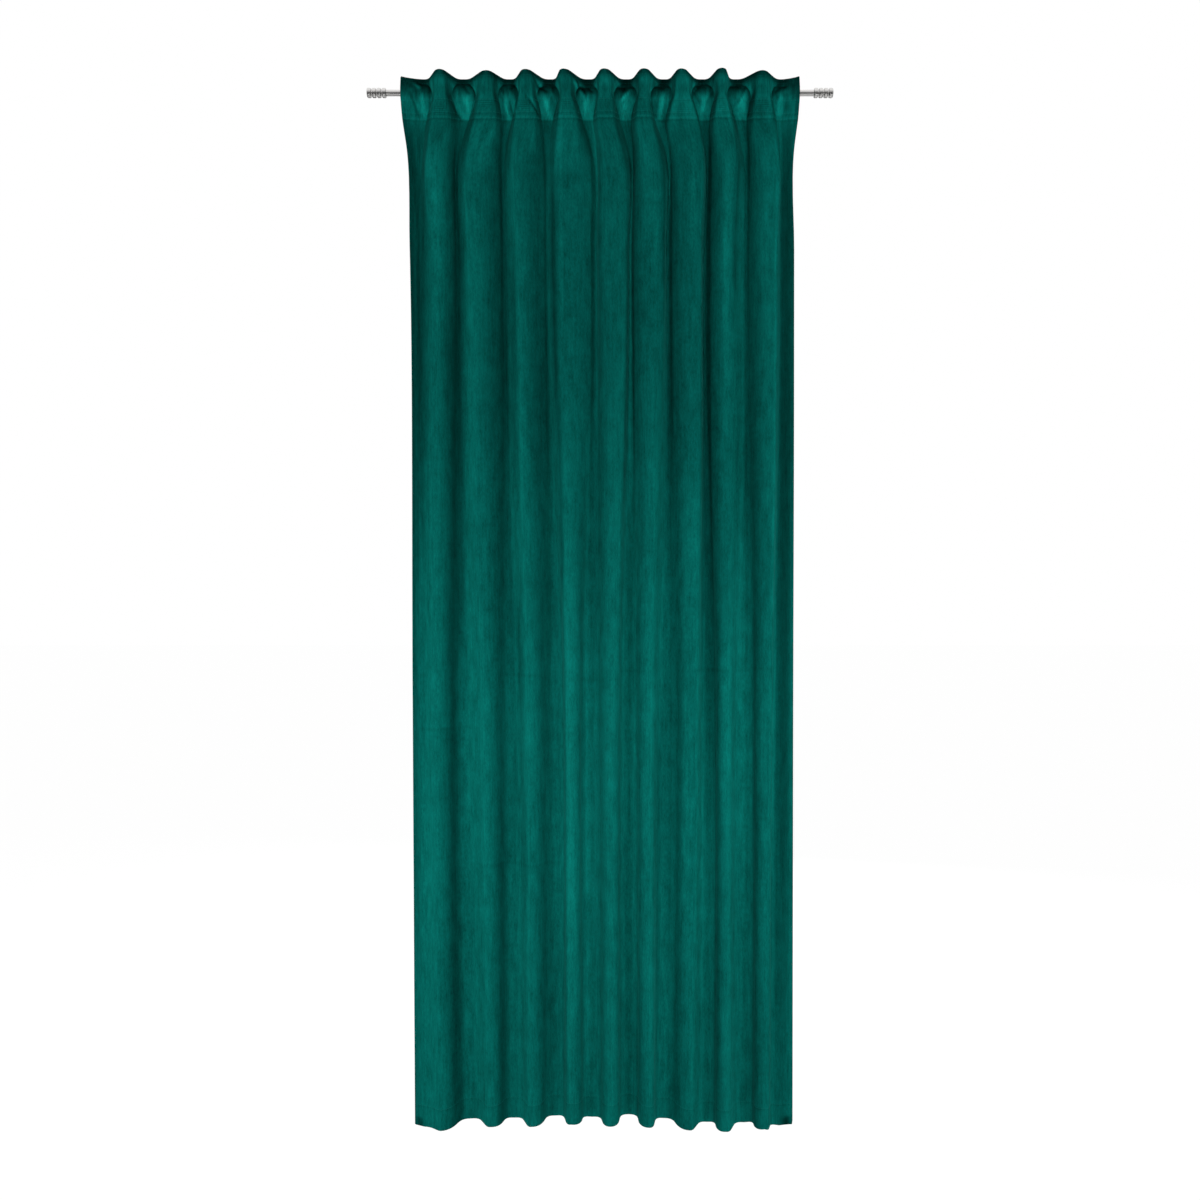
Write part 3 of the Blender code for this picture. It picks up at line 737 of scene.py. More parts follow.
# Painted shadows and painted highlights in strips down the cloth, among them dark strips down the
# heading on both sides of each valley and dark patches at the hem's two corners.
PAINTED_SHADING_MARKS = (
    # place, its drift down the mark: percent of a fold; top, bottom: mm; half width, change: percent
    (-22, 0, -120, -1400, 5, 35),
    (-12, 0, -60, -300, 6, 25),
    (13, -6, -50, -1250, 12, -42),
    (40, 0, -66, -230, 7, 40),
    (52, 0, -72, -700, 8, 25),
    (76, 0, -50, -640, 18, 38),
    (120, -14, -70, -1250, 8, -38),
    (133, 0, -72, -1100, 5, 25),
    (144, 4, -70, -900, 7, 18),
    (210, -2, -60, -900, 9, -30),
    (218, 0, -1050, -1900, 8, -20),
    (230, -6, -300, -1050, 12, -28),
    (246, 2, -72, -1100, 6, 18),
    (260, 0, -60, -280, 12, -20),
    (265, 0, -500, -1500, 15, -12),
    (292, 0, -150, -560, 12, 36),
    (292, 0, -780, -1150, 7, 30),
    (328, 2, -80, -850, 10, -55),
    (338, 0, -650, -1250, 8, -28),
    (345, 0, -72, -700, 3, 30),
    (346, 0, -300, -2413, 8, 14),
    (356, 0, -60, -260, 14, -30),
    (362, 0, -1000, -2500, 14, 22),
    (388, 0, -750, -1100, 7, 18),
    (394, 0, -100, -600, 12, 35),
    (397, 0, -1000, -2500, 5, 18),
    (428, 0, -600, -2500, 9, 18),
    (448, 0, -60, -300, 12, -18),
    (464, 0, -300, -1500, 4, 18),
    (477, 0, -120, -1100, 6, -38),
    (497, 5, -20, -1100, 10, 80),
    (512, 0, -750, -1300, 10, 30),
    (530, 0, -900, -2300, 14, 24),
    (534, 0, -80, -600, 8, -12),
    (553, 0, -200, -600, 4, 12),
    (554, 0, -60, -260, 12, -15),
    (570, 0, -80, -520, 8, -42),
    (586, 0, -1250, -2500, 7, -32),
    (604, 0, -30, -700, 12, 60),
    (604, 0, -1100, -2200, 5, -30),
    (634, 0, -700, -2300, 9, 24),
    (640, 0, -100, -500, 10, -12),
    (650, 0, -1300, -1950, 6, -15),
    (649, 0, -72, -450, 4, 22),
    (676, 4, -90, -1500, 8, -50),
    (700, 0, -1300, -2450, 5, 14),
    (706, 0, -50, -1250, 9, 55),
    (744, 0, -1250, -1700, 10, 18),
    (748, 0, -60, -900, 5, 40),
    (750, 0, -1050, -1300, 9, -18),
    (766, 0, -80, -560, 7, -42),
    (790, 0, -1300, -2450, 5, -18),
    (798, 0, -40, -420, 10, 35),
    (802, 0, -850, -1900, 6, 18),
    (825, 0, -60, -950, 35, 26),
    (833, 0, -1280, -1750, 13, 20),
    (847, 0, -950, -1300, 7, -18),
    (857, 0, -64, -300, 10, 20),
    (860, 0, -60, -1300, 4, 40),
    (870, 0, -1750, -2450, 20, -18),
    (892, 0, -1200, -1500, 5, 25),
    (900, 0, -70, -240, 4, 30),
    (-17, 0, -90, -420, 6, 30),
    (-18, 0, -1050, -1400, 6, 15),
    (20, 0, -130, -420, 14, -24),
    (24, 0, -620, -880, 12, -20),
    (6, 0, -1150, -1680, 6, -18),
    (60, 0, -1560, -1760, 5, -12),
    (68, 0, -200, -600, 16, 10),
    (95, 0, -200, -620, 6, 14),
    (98, -4, -980, -1420, 6, -24),
    (103, 0, -1450, -1750, 4, 25),
    (112, 0, -130, -480, 6, -15),
    (190, 0, -250, -600, 5, 15),
    (212, 0, -60, -260, 14, -25),
    (206, 0, -500, -900, 7, -35),
    (242, 0, -620, -740, 6, -15),
    (225, 0, -1150, -1480, 18, -25),
    (206, 0, -1430, -1720, 5, -15),
    (238, 0, -1740, -1920, 10, -15),
    (298, 0, -1300, -1450, 4, 20),
    (390, 0, -66, -200, 12, 28),
    (390, 0, -1150, -2200, 4, -25),
    (406, 0, -700, -1500, 4, -15),
    (442, 0, -400, -860, 6, -10),
    (486, 0, -60, -180, 12, 35),
    (488, 0, -600, -950, 7, -35),
    (508, 0, -150, -720, 10, 30),
    (528, 0, -850, -1250, 10, 18),
    (562, 0, -560, -900, 10, -15),
    (602, 0, -60, -330, 12, 30),
    (610, 0, -700, -1150, 8, 25),
    (636, 0, -1500, -2050, 10, 12),
    (645, 0, -1080, -1500, 10, -12),
    (662, 0, -420, -1250, 8, -25),
    (778, 0, -480, -1150, 7, -20),
    (808, 0, -60, -330, 8, 15),
    (837, 0, -1780, -2000, 5, 15),
    (850, 0, -1420, -1680, 5, -22),
    (888, 0, -1400, -1800, 7, 18),
    (897, 0, -1880, -2200, 4, -20),
    (88, -2, 10, -72, 3, -45),
    (115, -4, 10, -72, 3, -40),
    (186, 0, 10, -72, 3, -50),
    (212, -2, 10, -72, 3, -45),
    (286, 2, 10, -72, 3, -50),
    (314, -2, 10, -72, 4, -55),
    (387, 2, 8, -72, 3, -50),
    (414, -2, 8, -72, 3, -50),
    (487, 2, 8, -72, 3, -50),
    (513, -2, 8, -72, 3, -50),
    (588, 2, 8, -72, 3, -50),
    (612, -2, 8, -72, 3, -50),
    (686, 0, 14, -72, 4, -55),
    (713, -2, 8, -72, 3, -50),
    (788, 2, 8, -72, 3, -50),
    (815, -2, 12, -72, 4, -55),
    (886, 2, 8, -72, 3, -45),
    (-22, 10, -2388, -2434, 16, -65),
    (920, 0, -2388, -2434, 13, -75),
)


def band(distance, width):
    """One across a band, falling fast at its sides: the normal curve with the fourth power."""
    return np.exp(-((distance / width) ** 4))


# The tone below is painted light and shade, all multiplied into the velvet's colour.
tone = smooth_column(TONE_HEIGHTS, PAINTED_LIGHT_BY_HEIGHT, heights * MM)[:, None] * painted_crease_shading
in_valley = np.cos(2 * pi * fold_place)
tone *= 1 + HEADING_PAINTED_SHEEN * ease(way(*HEADING_SHEEN_HEIGHTS)) * in_valley
tone *= 1 + VALLEY_TOP_PAINTED_SHADOW * ease(way(*VALLEY_SHADOW_HEIGHTS)) * ease(in_valley)
below_seam = np.minimum(heights, VALLEY_SHADING_HEIGHTS[0]) * MM
valley_shading_start = ease(way(*VALLEY_SHADING_START))
down = way(heights[0], heights[-1])
for place, drift, half_width, *changes in VALLEY_PAINTED_SHADING:
    change = smooth_column(VALLEY_SHADING_HEIGHTS, changes, below_seam)[:, None] / 100
    away = fold_place - (place + drift * down) / 100
    tone *= 1 + change * valley_shading_start * band(away, half_width / 100)
for place, drift, top, bottom, half_width, change in PAINTED_SHADING_MARKS:
    down = way(top, bottom)
    away = fold_place - (place + drift * down) / 100
    tone *= 1 + change / 100 * bell(away, half_width / 100) * window(down)
# Painted sheen where the cloth faces down or out to its own side, painted shade where it faces up or to
# the middle.
painted_side_sheen = np.tanh(cloth[..., 0] / PAINTED_SHEEN_PARTING) * facing[..., 0]
painted_sheen = SIDE_PAINTED_SHEEN * painted_side_sheen - DOWN_PAINTED_SHEEN * facing[..., 2]
nap = tone * np.clip(np.exp(painted_sheen), *PAINTED_SHEEN_RANGE)

# The gathering leaves fine ribs across the fronts of the folds, about the tape's rows of stitches.
RIB_TOP, RIB_BOTTOM = -12, -74
RIB_START, RIB_REACH = 0.35, 0.5
ribs = window(way(RIB_TOP, RIB_BOTTOM)) * ease((-in_valley - RIB_START) / RIB_REACH)

# The hems are turned once to the back, so the cloth is thicker there and shows its pile behind.
HEM_RISE = 1.1 * MM
side_hem = np.minimum(np.arange(cloth.shape[1]), np.arange(cloth.shape[1])[::-1]) <= SIDE_HEM_STEPS
bottom_hem = (heights <= HEM_STITCH)[:, None]
hem = (side_hem | bottom_hem) * 1.0

# The velvet's short pile: its tone and height, from places across and down in metres.
PILE_NOISES = (
    # size across and down in mm, share of tone, share of height
    (120, 330, 0.50, 0.0),
    (18, 45, 0.70, 0.0),
    (5.0, 60, 0.75, 0.3),
    (2.2, 9, 0.90, 0.4),
    (1.1, 1.6, 0.50, 1.0),
)


def shader_group(name, sockets_in, sockets_out):
    """A shader node group with its sockets, as names and kinds."""
    group = bpy.data.node_groups.new(name, "ShaderNodeTree")
    for side, sockets in (("INPUT", sockets_in), ("OUTPUT", sockets_out)):
        for socket, kind in sockets.items():
            group.interface.new_socket(name=socket, in_out=side, socket_type=kind)
    return group, group.nodes.new("NodeGroupInput"), group.nodes.new("NodeGroupOutput")


def grouped(tree, group, inputs):
    """The outputs of a shader group put into a material."""
    return add_node(tree, "ShaderNodeGroup", inputs, node_tree=group).outputs


def noise(tree, place, scale, detail=2.0):
    """A soft noise at places times a scale."""
    inputs = {"Vector": place, "Scale": scale, "Detail": detail}
    return add_node(tree, "ShaderNodeTexNoise", inputs).outputs[0]


def scaled(tree, vector, factors):
    """A vector times three factors."""
    inputs = {0: vector, 1: factors}
    return add_node(tree, "ShaderNodeVectorMath", inputs, operation="MULTIPLY").outputs[0]


def shaded(tree, colour, tone):
    """A colour times a tone."""
    inputs = {0: colour, "Scale": tone}
    return add_node(tree, "ShaderNodeVectorMath", inputs, operation="SCALE").outputs[0]


def mixed(tree, share, first, second):
    """A share of the way from one colour to another."""
    inputs = {"Factor": share, "A": first, "B": second}
    return add_node(tree, "ShaderNodeMix", inputs, data_type="VECTOR").outputs["Result"]


pile_group, pile_in, pile_out = shader_group(
    "short_pile", {"Place": "NodeSocketVector"}, {"Tone": "NodeSocketFloat", "Height": "NodeSocketFloat"}
)
pile_tone, pile_height = 1.0, 0.0
for across_mm, down_mm, tone_share, height_share in PILE_NOISES:
    per_metre = (1 / (across_mm * MM), 1 / (down_mm * MM), 1.0)
    spread = scaled(pile_group, pile_in.outputs["Place"], per_metre)
    level = reckon(pile_group, "SUBTRACT", noise(pile_group, spread, 1.0), 0.5)
    pile_tone = reckon(pile_group, "ADD", reckon(pile_group, "MULTIPLY", level, tone_share), pile_tone)
    if height_share:
        relief = reckon(pile_group, "MULTIPLY", level, height_share)
        pile_height = reckon(pile_group, "ADD", relief, pile_height)
fill(pile_group, pile_out, {"Tone": pile_tone, "Height": pile_height})


def place_on(tree, size):
    """The place across and down a sheet in metres, from its texture coordinates."""
    return scaled(tree, add_node(tree, "ShaderNodeUVMap", uv_map="cloth").outputs[0], (*size, 1.0))


def bumped(tree, shader, height, distance):
    """Gives a shader relief from a height."""
    bump = add_node(tree, "ShaderNodeBump", {"Height": height, "Strength": 1.0, "Distance": distance})
    tree.links.new(bump.outputs[0], shader.inputs["Normal"])


VELVET_COLOUR = (0.0014, 0.098, 0.083)
VELVET_BACK_COLOUR = (0.004, 0.060, 0.050)
PILE_RELIEF = 0.25 * MM
RIB_PITCH = 4.5 * MM
RIB_HEIGHT = 0.8
velvet, velvet_tree, velvet_shader = new_material("velvet")
velvet_place = place_on(velvet_tree, FLAT_SIZE)
velvet_pile = grouped(velvet_tree, pile_group, {"Place": velvet_place})
nap_mark, pile_mark, rib_mark = (
    add_node(velvet_tree, "ShaderNodeAttribute", attribute_name=name).outputs["Fac"]
    for name in ("nap", "pile", "ribs")
)
velvet_colour = mixed(velvet_tree, pile_mark, VELVET_BACK_COLOUR, VELVET_COLOUR)
# The painted light and shade times the pile's own random tone.
velvet_tone = reckon(velvet_tree, "MULTIPLY", nap_mark, velvet_pile["Tone"])
down_cloth = add_node(velvet_tree, "ShaderNodeSeparateXYZ", {0: velvet_place}).outputs["Y"]
rib_wave = reckon(velvet_tree, "SINE", reckon(velvet_tree, "MULTIPLY", down_cloth, 2 * pi / RIB_PITCH))
rib_share = reckon(velvet_tree, "MULTIPLY", rib_mark, RIB_HEIGHT)
rib_height = reckon(velvet_tree, "MULTIPLY", rib_wave, rib_share)
velvet_height = reckon(velvet_tree, "ADD", velvet_pile["Height"], rib_height)
bumped(velvet_tree, velvet_shader, velvet_height, PILE_RELIEF)
velvet_look = {
    "Base Color": shaded(velvet_tree, velvet_colour, velvet_tone),
    "Roughness": 0.85,
    "Specular IOR Level": 0.0,
    "Sheen Weight": 0.08,
    "Sheen Roughness": 0.28,
    "Sheen Tint": (0.10, 0.85, 0.75, 1.0),
}
fill(velvet_tree, velvet_shader, velvet_look)
panel = shell_mesh(
    "velvet_panel",
    cloth + facing * CLOTH_THICKNESS / 2,
    cloth - facing * (CLOTH_THICKNESS / 2 + HEM_RISE * hem)[..., None],
    velvet,
    across=cloth_across,
    down=(heights[0] - heights) * MM / FLAT_SIZE[1],
    fine_rows=HEADING_ROWS,
    nap=(nap, 1.0),
    pile=(1.0, hem),
    ribs=(ribs, 0.0),
)
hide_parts("curtain_panel")
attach(panel, "root")

# The rows of stitches are thread in the cloth's own colour. Each stitch is a slim spindle, and
# together they are one piece. Rows run along the heading, the hem and both sides.
STITCH_PITCH = 3.4 * MM
STITCH_LENGTH = 2.6 * MM
STITCH_RADIUS = 0.38 * MM
HEADING_STITCHES = (20, -25, -52, -64)
SIDE_ROW_TOP = 20
THREAD_COLOURS = ((0.001, 0.075, 0.066), (0.004, 0.150, 0.130))
THREAD_GRAIN = 900.0
SPINDLE = np.array([(1, 0, 0), (0, 1, 0), (0, 0, 1), (0, -1, 0), (0, 0, -1), (-1, 0, 0)], float)
SPINDLE_FACES = np.array(
    [(0, 1, 2), (0, 2, 3), (0, 3, 4), (0, 4, 1), (5, 2, 1), (5, 3, 2), (5, 4, 3), (5, 1, 4)]
)


def spindles(line, up):
    """Points of a spindle for each stitch along a line, with the way out of the cloth at its points."""
    length = np.concatenate([[0], np.cumsum(np.linalg.norm(np.diff(line, axis=0), axis=1))])
    middles = np.arange(STITCH_PITCH, length[-1] - STITCH_PITCH, STITCH_PITCH)

    def at(places, values):
        return np.stack([np.interp(places, length, column) for column in values.T], -1)

    ahead = at(middles + STITCH_LENGTH / 2, line) - at(middles - STITCH_LENGTH / 2, line)
    ahead /= np.linalg.norm(ahead, axis=-1, keepdims=True)
    out = at(middles, up)
    beside = np.cross(out, ahead)
    axes = np.stack([ahead * STITCH_LENGTH / 2, beside * STITCH_RADIUS, out * STITCH_RADIUS], 1)
    return at(middles, line)[:, None] + SPINDLE @ axes


def sew(name, lines, material):
    """All stitches of some lines as one piece. A line is its points and the ways out of the cloth."""
    points = np.concatenate([spindles(line, up) for line, up in lines])
    faces = (np.arange(len(points)) * len(SPINDLE))[:, None, None] + SPINDLE_FACES
    stitches = add_piece(name, points, [faces.reshape(-1, 3)], material)
    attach(stitches, "root")
    return stitches


def cloth_at(z_mm, grid):
    """Rows of a grid of the panel read at heights in mm, straight between its own rows."""
    place = np.interp(-np.asarray(z_mm, float), -heights, np.arange(len(heights)))
    low = np.minimum(place.astype(int), len(heights) - 2)
    part = (place - low)[:, None, None]
    return grid[low] * (1 - part) + grid[low + 1] * part


def faces_of(side, thickness, rows=slice(None), columns=slice(None)):
    """A line of the panel's grid moved out to its front or its back, and the way out there."""
    out = facing[rows, columns] * side
    return cloth[rows, columns] + out * thickness, out


def nearest_row(height, row_heights):
    """The number of the row that lies nearest to a height."""
    return int(np.argmin(np.abs(row_heights - height)))


thread, thread_tree, thread_shader = new_material("thread")
thread_place = add_node(thread_tree, "ShaderNodeTexCoord").outputs["Object"]
thread_wear = noise(thread_tree, thread_place, THREAD_GRAIN)
thread_look = {
    "Base Color": mixed(thread_tree, thread_wear, *THREAD_COLOURS),
    "Roughness": 0.6,
    "Specular IOR Level": 0.15,
}
fill(thread_tree, thread_shader, thread_look)
seam_lines = []
for z_mm in (*HEADING_STITCHES, HEM_STITCH):
    row = nearest_row(z_mm, heights)
    seam_lines.append(faces_of(1, CLOTH_THICKNESS / 2, rows=row))
    if z_mm == HEM_STITCH:
        seam_lines.append(faces_of(-1, CLOTH_THICKNESS / 2 + HEM_RISE, rows=row))
for column in (SIDE_HEM_STEPS, -1 - SIDE_HEM_STEPS):
    run = slice(nearest_row(SIDE_ROW_TOP, heights), None)
    seam_lines.append(faces_of(1, CLOTH_THICKNESS / 2, rows=run, columns=column))
    seam_lines.append(faces_of(-1, CLOTH_THICKNESS / 2 + HEM_RISE, rows=run, columns=column))
panel_stitches = sew("panel_stitching", seam_lines, thread)

# The heading tape is a thin woven band with firm selvedges, stitched in four rows to the back of the
# heading. It follows the cloth's folds, a hair behind them.
TAPE_TOP = 22 * MM
TAPE_BOTTOM = -66 * MM
TAPE_SIZE = (1.38, TAPE_TOP - TAPE_BOTTOM)
TAPE_THICKNESS = 0.8 * MM
SEWN_GAP = 0.8 * MM
TAPE_ROWS = 34
SELVEDGE_WIDTH = 3.5 * MM
SELVEDGE_RISE = 0.25 * MM
TAPE_COLOUR = (0.006, 0.085, 0.070)
TAPE_WEAVE = (1.1 * MM, 0.7 * MM)
WEAVE_TONE = 0.35
WEAVE_WEAR = 140.0

# Shared by the tape and the loops: threads that pass over and under each other, from places across
# and down in metres. Sine across times sine down, both of half a wave for each thread, gives the tone,
# with a soft wear. The product's size is the height, so each crossing stands up as a small knuckle.
weave_group, weave_in, weave_out = shader_group(
    "plain_weave",
    {"Place": "NodeSocketVector", "Across Pitch": "NodeSocketFloat", "Down Pitch": "NodeSocketFloat"},
    {"Tone": "NodeSocketFloat", "Height": "NodeSocketFloat"},
)
weave_place = add_node(weave_group, "ShaderNodeSeparateXYZ", {0: weave_in.outputs["Place"]})
weave_waves = []
for axis, pitch in ((0, "Across Pitch"), (1, "Down Pitch")):
    threads = reckon(weave_group, "DIVIDE", weave_place.outputs[axis], weave_in.outputs[pitch])
    weave_waves.append(reckon(weave_group, "SINE", reckon(weave_group, "MULTIPLY", threads, pi)))
crossing = reckon(weave_group, "MULTIPLY", *weave_waves)
worn = noise(weave_group, weave_in.outputs["Place"], WEAVE_WEAR)
crossing_tone = reckon(weave_group, "MULTIPLY", reckon(weave_group, "ADD", crossing, worn), WEAVE_TONE)
weave_tone = reckon(weave_group, "ADD", crossing_tone, 1 - WEAVE_TONE / 2)
fill(weave_group, weave_out, {"Tone": weave_tone, "Height": reckon(weave_group, "ABSOLUTE", crossing)})


def woven_cloth(name, colour, size, weave):
    """A matt woven material on a sheet's own texture coordinates, with its size and its two pitches."""
    material, tree, shader = new_material(name)
    inputs = {"Place": place_on(tree, size), "Across Pitch": weave[0], "Down Pitch": weave[1]}
    threads = grouped(tree, weave_group, inputs)
    bumped(tree, shader, threads["Height"], min(weave) / 4)
    look = {
        "Base Color": shaded(tree, colour, threads["Tone"]),
        "Roughness": 0.9,
        "Specular IOR Level": 0.2,
    }
    fill(tree, shader, look)
    return material


tape_heights = np.linspace(TAPE_TOP, TAPE_BOTTOM, TAPE_ROWS)
from_edge = np.minimum(TAPE_TOP - tape_heights, tape_heights - TAPE_BOTTOM)
selvedge = SELVEDGE_RISE * ease((SELVEDGE_WIDTH - from_edge) / SELVEDGE_RISE)[:, None, None]
tape_line = cloth_at(tape_heights / MM, cloth)
tape_facing = cloth_at(tape_heights / MM, facing)
tape_front = tape_line - tape_facing * (CLOTH_THICKNESS / 2 + SEWN_GAP)
tape_behind = tape_front - tape_facing * (TAPE_THICKNESS + selvedge)
tape = shell_mesh(
    "woven_heading_tape",
    tape_front,
    tape_behind,
    woven_cloth("webbing", TAPE_COLOUR, TAPE_SIZE, TAPE_WEAVE),
    across=cloth_across,
    down=(TAPE_TOP - tape_heights) / TAPE_SIZE[1],
)
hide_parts("heading_tape")
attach(tape, "root")
tape_seams = []
for z_mm in HEADING_STITCHES:
    row = nearest_row(z_mm * MM, tape_heights)
    tape_seams.append((tape_behind[row], -tape_facing[row]))
tape_stitches = sew("tape_stitching", tape_seams, thread)

# Ten loops of folded cloth hang the curtain on the rod. Each is a strip sewn flat to the tape at
# both ends, and it runs over and behind the rod from its upper stitches to its lower ones.
LOOP_THICKNESS = 1.0 * MM
LOOP_WIDTH = 32 * MM
LOOP_TOP = 20 * MM
LOOP_UPPER_STITCH = 13 * MM
LOOP_LOWER_STITCH = -52 * MM
LOOP_BOTTOM = -62 * MM
LOOP_ARC_STEPS = 22
LOOP_FLAT_STEPS = 3
LOOP_DROP_STEPS = 8
LOOP_SIDE_STEPS = 10
LOOP_COLUMNS = 11
LOOP_GAP = 0.5 * MM
FIT_GAP = 0.3 * MM
ROD_RADIUS = 7 * MM
TURNED_EDGE = 4 * MM
TURNED_EDGE_RISE = 0.25 * MM
TURNED_EDGE_SLOPE = 1 * MM
LOOP_COLOUR = (0.005, 0.062, 0.051)
LOOP_WEAVE = (0.8 * MM, 0.8 * MM)
LOOP_LENGTH = 90 * MM
LOOP_SEAM_STEPS = 1
LOOP_SEAM_SLACK = 2 * MM


def loop_line(behind):
    """A loop's middle line from the side: flat on the tape, a round arc behind the rod, flat again.

    The arc's radius is the rod's, the gap and half the strip. Straight lines from the two rows of
    stitches touch the arc where the loop joins and leaves it.
    """
    radius = ROD_RADIUS + FIT_GAP + LOOP_THICKNESS / 2

    def leaves(height, side):
        y = behind(height)
        return atan2(y, height) + side * acos(radius / sqrt(y * y + height * height))

    first, last = leaves(LOOP_UPPER_STITCH, 1), leaves(LOOP_LOWER_STITCH, -1) % (2 * pi)
    angles = np.linspace(first, last, LOOP_ARC_STEPS + 1)
    arc = radius * np.stack([np.sin(angles), np.cos(angles)], 1)
    flats = ((LOOP_TOP, LOOP_UPPER_STITCH), (LOOP_LOWER_STITCH, LOOP_BOTTOM))
    top, bottom = (
        np.array([(behind(z), z) for z in np.linspace(start, stop, LOOP_FLAT_STEPS + 1)])
        for start, stop in flats
    )
    down = np.linspace(arc[-1], bottom[0], LOOP_DROP_STEPS + 1)[1:-1]
    return np.concatenate([top, arc, down, bottom])


strip_cloth = woven_cloth("strip_cloth", LOOP_COLOUR, (LOOP_WIDTH, LOOP_LENGTH), LOOP_WEAVE)
across = np.linspace(-LOOP_WIDTH / 2, LOOP_WIDTH / 2, LOOP_SIDE_STEPS + 1)
from_side = LOOP_WIDTH / 2 - np.abs(across)
turned_edge = TURNED_EDGE_RISE * ease((TURNED_EDGE - from_side) / TURNED_EDGE_SLOPE)
tape_back = cloth - facing * (CLOTH_THICKNESS / 2 + SEWN_GAP + TAPE_THICKNESS + SELVEDGE_RISE)
loop_seams = []
for number in range(len(VALLEYS)):
    column = EDGE_STEPS + 2 * HALF_FOLD_STEPS * number
    centre = (VALLEYS[number][0] + VALLEYS[number][1]) / 2 * MM
    near = slice(column - LOOP_COLUMNS, column + LOOP_COLUMNS + 1)
    farthest = [np.interp(centre + across, row[near, 0], row[near, 1]).max() for row in tape_back]
    seat = LOOP_GAP + LOOP_THICKNESS / 2
    line = loop_line(lambda z: float(np.interp(-z, -heights * MM, farthest)) + seat)
    middle = np.stack(np.broadcast_arrays(centre + across, line[:, :1], line[:, 1:]), -1)
    away = outward(middle)
    inside = middle + away * LOOP_THICKNESS / 2
    outside = middle - away * (LOOP_THICKNESS / 2 + turned_edge[:, None])
    run = np.concatenate([[0], np.cumsum(np.linalg.norm(np.diff(line, axis=0), axis=1))])
    loop = shell_mesh(
        f"hanging_loop_{number + 1:02d}",
        inside,
        outside,
        strip_cloth,
        across=across / LOOP_WIDTH + 0.5,
        down=run / run[-1],
    )
    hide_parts(f"tab_{number + 1:02d}")
    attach(loop, "root")
    for column in (LOOP_SEAM_STEPS, -1 - LOOP_SEAM_STEPS):
        loop_seams.append((outside[:, column], -away[:, column]))
    # Rows of stitches keep off what lies further forward than the loop's top end
    seam_heights = np.where(line[:, 0] < line[0, 0] - LOOP_SEAM_SLACK, np.inf, line[:, 1])
    for z in (LOOP_UPPER_STITCH, LOOP_LOWER_STITCH):
        row = nearest_row(z, seam_heights)
        loop_seams.append((outside[row], -away[row]))
loop_stitches = sew("loop_stitching", loop_seams, thread)

# The rod is a slim straight steel tube, drawn and brushed along its length. It lies in brackets, which
# aren't shown, just outside the cloth, and each end takes a finial.
ROD_HALF_LENGTH = 503 * MM
SOCKET_RADIUS = 5.3 * MM
SOCKET_DEPTH = 22 * MM
ROD_EDGE = 0.4 * MM
ROUND_SIDES = 64
CORNER_STEPS = 5
LARGEST_CUT = 0.45
END_RING = 0.2
SHARP_ANGLE = pi / 4
STEEL_COLOUR = (0.60, 0.59, 0.58)
STEEL_TONE = 0.16
STEEL_ROUGHNESS = (0.24, 0.40)
SCRATCH_DETAIL = 3.0
ROD_GRAIN = (12.0, 1600.0, 1600.0)


def rounded_path(corners, cut):
    """A path with each inner corner rounded.

    A corner's curve starts and ends the cut away along its two sides. Its points are the start
    times the square of one less the share, the corner times twice both, and the end times the
    share squared.
    """
    corners = np.asarray(corners, float)
    middle = corners[1:-1, None]
    sides = [corners[:-2, None] - middle, corners[2:, None] - middle]
    lengths = [np.linalg.norm(side, axis=-1, keepdims=True) for side in sides]
    start, stop = (
        middle + side * np.minimum(cut / length, LARGEST_CUT) for side, length in zip(sides, lengths)
    )
    t = np.linspace(0, 1, CORNER_STEPS)[:, None]
    curve = (1 - t) ** 2 * start + 2 * t * (1 - t) * middle + t * t * stop
    return np.concatenate([corners[:1], curve.reshape(-1, 2), corners[-1:]])


def turned(name, profile, material):
    """A profile of along and radius turned about the X axis and closed flat at its first and last ring.

    A point stands at its place along, and at the radius times the cosine and the sine of its angle.
    """
    along, radius = np.asarray(profile, float).T[:, :, None]
    angle = np.arange(ROUND_SIDES) / ROUND_SIDES * 2 * pi
    points = np.stack(np.broadcast_arrays(along, radius * np.cos(angle), radius * np.sin(angle)), -1)
    at = np.arange(along.size * ROUND_SIDES).reshape(along.size, ROUND_SIDES)
    beside = np.roll(at, -1, axis=1)
    faces = np.stack([at[:-1], at[1:], beside[1:], beside[:-1]], -1).reshape(-1, 4)
    piece = add_piece(name, points, [faces, np.stack([at[0], at[-1, ::-1]])], material)
    piece.data.set_sharp_from_angle(angle=SHARP_ANGLE)
    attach(piece, "root")
    return piece


# Shared by the rod and the finials: steel with fine scratches, from places in metres times the grain.
scratch_group, scratch_in, scratch_out = shader_group(
    "fine_scratches",
    {"Grain": "NodeSocketVector"},
    {"Tone": "NodeSocketFloat", "Roughness": "NodeSocketFloat"},
)
scratch_place = add_node(scratch_group, "ShaderNodeTexCoord").outputs["Object"]
scratch_spread = scaled(scratch_group, scratch_place, scratch_in.outputs["Grain"])
scratches = noise(scratch_group, scratch_spread, 1.0, SCRATCH_DETAIL)
scratch_tone = reckon(scratch_group, "MULTIPLY", scratches, STEEL_TONE)
scratch_values = {
    "Tone": reckon(scratch_group, "ADD", scratch_tone, 1 - STEEL_TONE / 2),
    "Roughness": between(scratch_group, scratches, *STEEL_ROUGHNESS),
}
fill(scratch_group, scratch_out, scratch_values)


def brushed_steel(name, grain):
    """Bare steel with scratches that run along the axis with the least grain."""
    material, tree, shader = new_material(name)
    scratched = grouped(tree, scratch_group, {"Grain": grain})
    look = {
        "Base Color": shaded(tree, STEEL_COLOUR, scratched["Tone"]),
        "Roughness": scratched["Roughness"],
        "Metallic": 1.0,
    }
    fill(tree, shader, look)
    return material


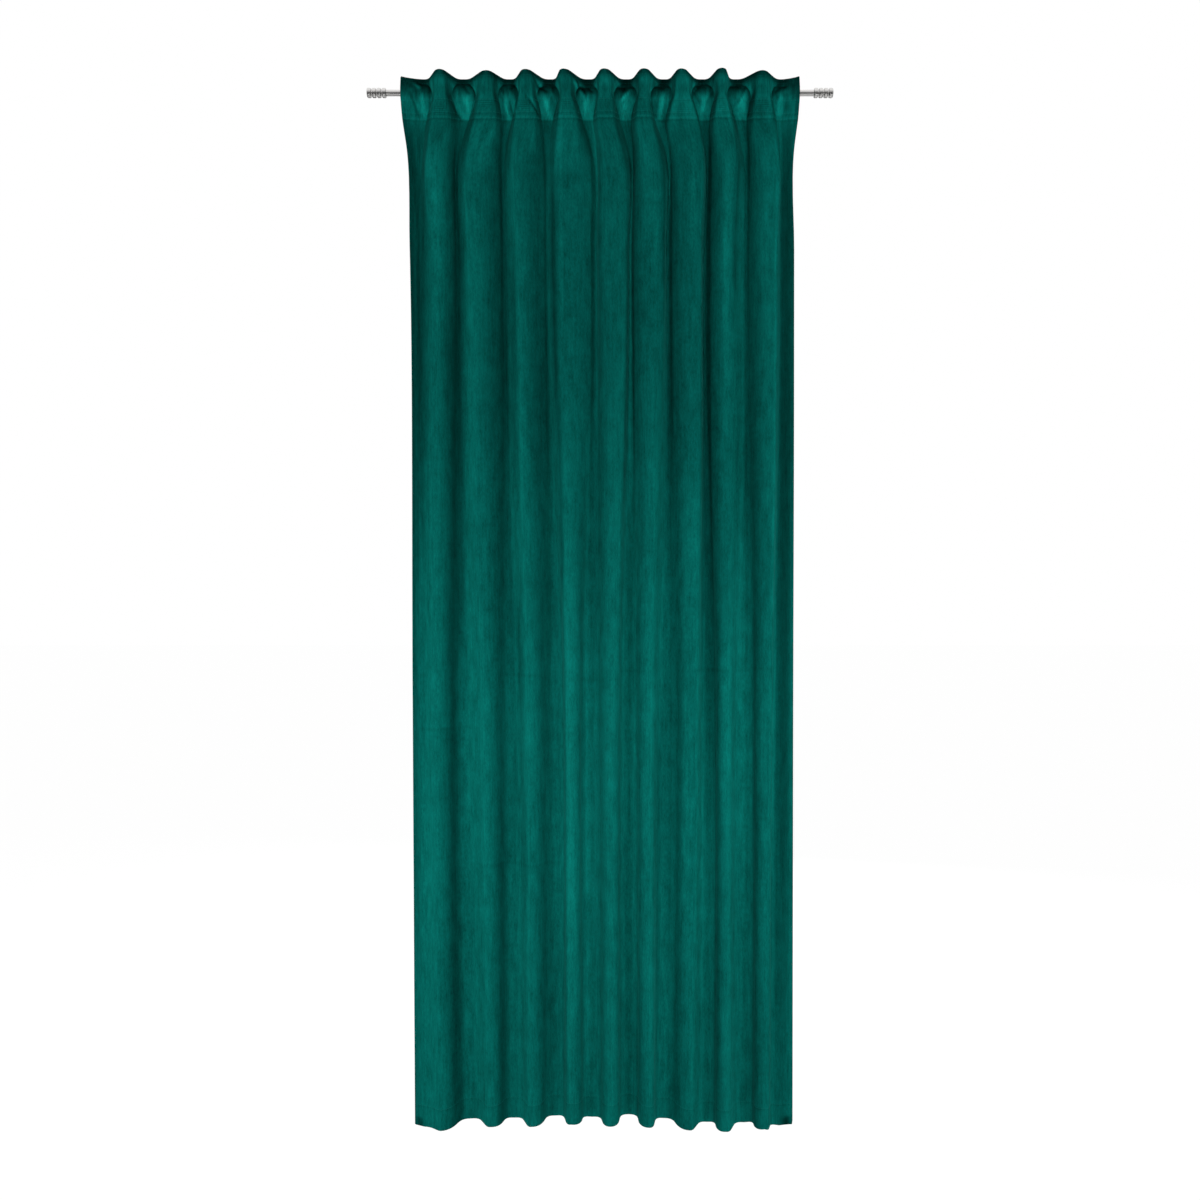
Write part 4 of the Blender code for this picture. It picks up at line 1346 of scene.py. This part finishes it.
socket_floor = ROD_HALF_LENGTH - SOCKET_DEPTH
rod_end = [
    (socket_floor, END_RING * SOCKET_RADIUS),
    (socket_floor, SOCKET_RADIUS),
    (ROD_HALF_LENGTH, SOCKET_RADIUS),
    (ROD_HALF_LENGTH, ROD_RADIUS),
    (0.0, ROD_RADIUS),
]
rod_half = rounded_path(rod_end, ROD_EDGE)
rod_profile = np.concatenate([rod_half, rod_half[-2::-1] * (-1, 1)])[::-1]
rod_piece = turned("drawn_rod", rod_profile, brushed_steel("drawn_steel", ROD_GRAIN))
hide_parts("rod")

# The finials are turned from steel bar: four beads parted by three narrow grooves, on a spigot that
# plugs into the rod's socket. Their scratches run round them, as the turning tool left them.
BEAD_RADIUS = 11 * MM
BEAD_SHOULDER = 9.9 * MM
BEAD_WIDTH = 9.0 * MM
BEAD_SLOPE = 1.6 * MM
BEAD_EDGE = 0.9 * MM
GROOVE_RADIUS = 5 * MM
GROOVE_WIDTH = 2.7 * MM
BEADS = 4
FINIAL_GRAIN = (2600.0, 60.0, 60.0)
turned_steel = brushed_steel("turned_steel", FINIAL_GRAIN)
spigot = SOCKET_RADIUS - FIT_GAP
spigot_tip = socket_floor + 2 * FIT_GAP
finial_start = ROD_HALF_LENGTH + FIT_GAP
bead_path = [(spigot_tip, END_RING * spigot), (spigot_tip, spigot), (finial_start, spigot)]
for bead in range(BEADS):
    start = finial_start + bead * (BEAD_WIDTH + GROOVE_WIDTH)
    stop = start + BEAD_WIDTH
    if bead:
        bead_path.append((start, GROOVE_RADIUS))
    bead_path += [
        (start, BEAD_SHOULDER),
        (start + BEAD_SLOPE, BEAD_RADIUS),
        (stop - BEAD_SLOPE, BEAD_RADIUS),
        (stop, BEAD_SHOULDER),
        (stop, GROOVE_RADIUS),
    ]
finial_profile = rounded_path(bead_path, BEAD_EDGE)
for side, profile in (("left", finial_profile * (-1, 1)), ("right", finial_profile[::-1])):
    finial = turned(f"turned_finial_{side}", profile, turned_steel)
    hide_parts(f"finial_{side}")
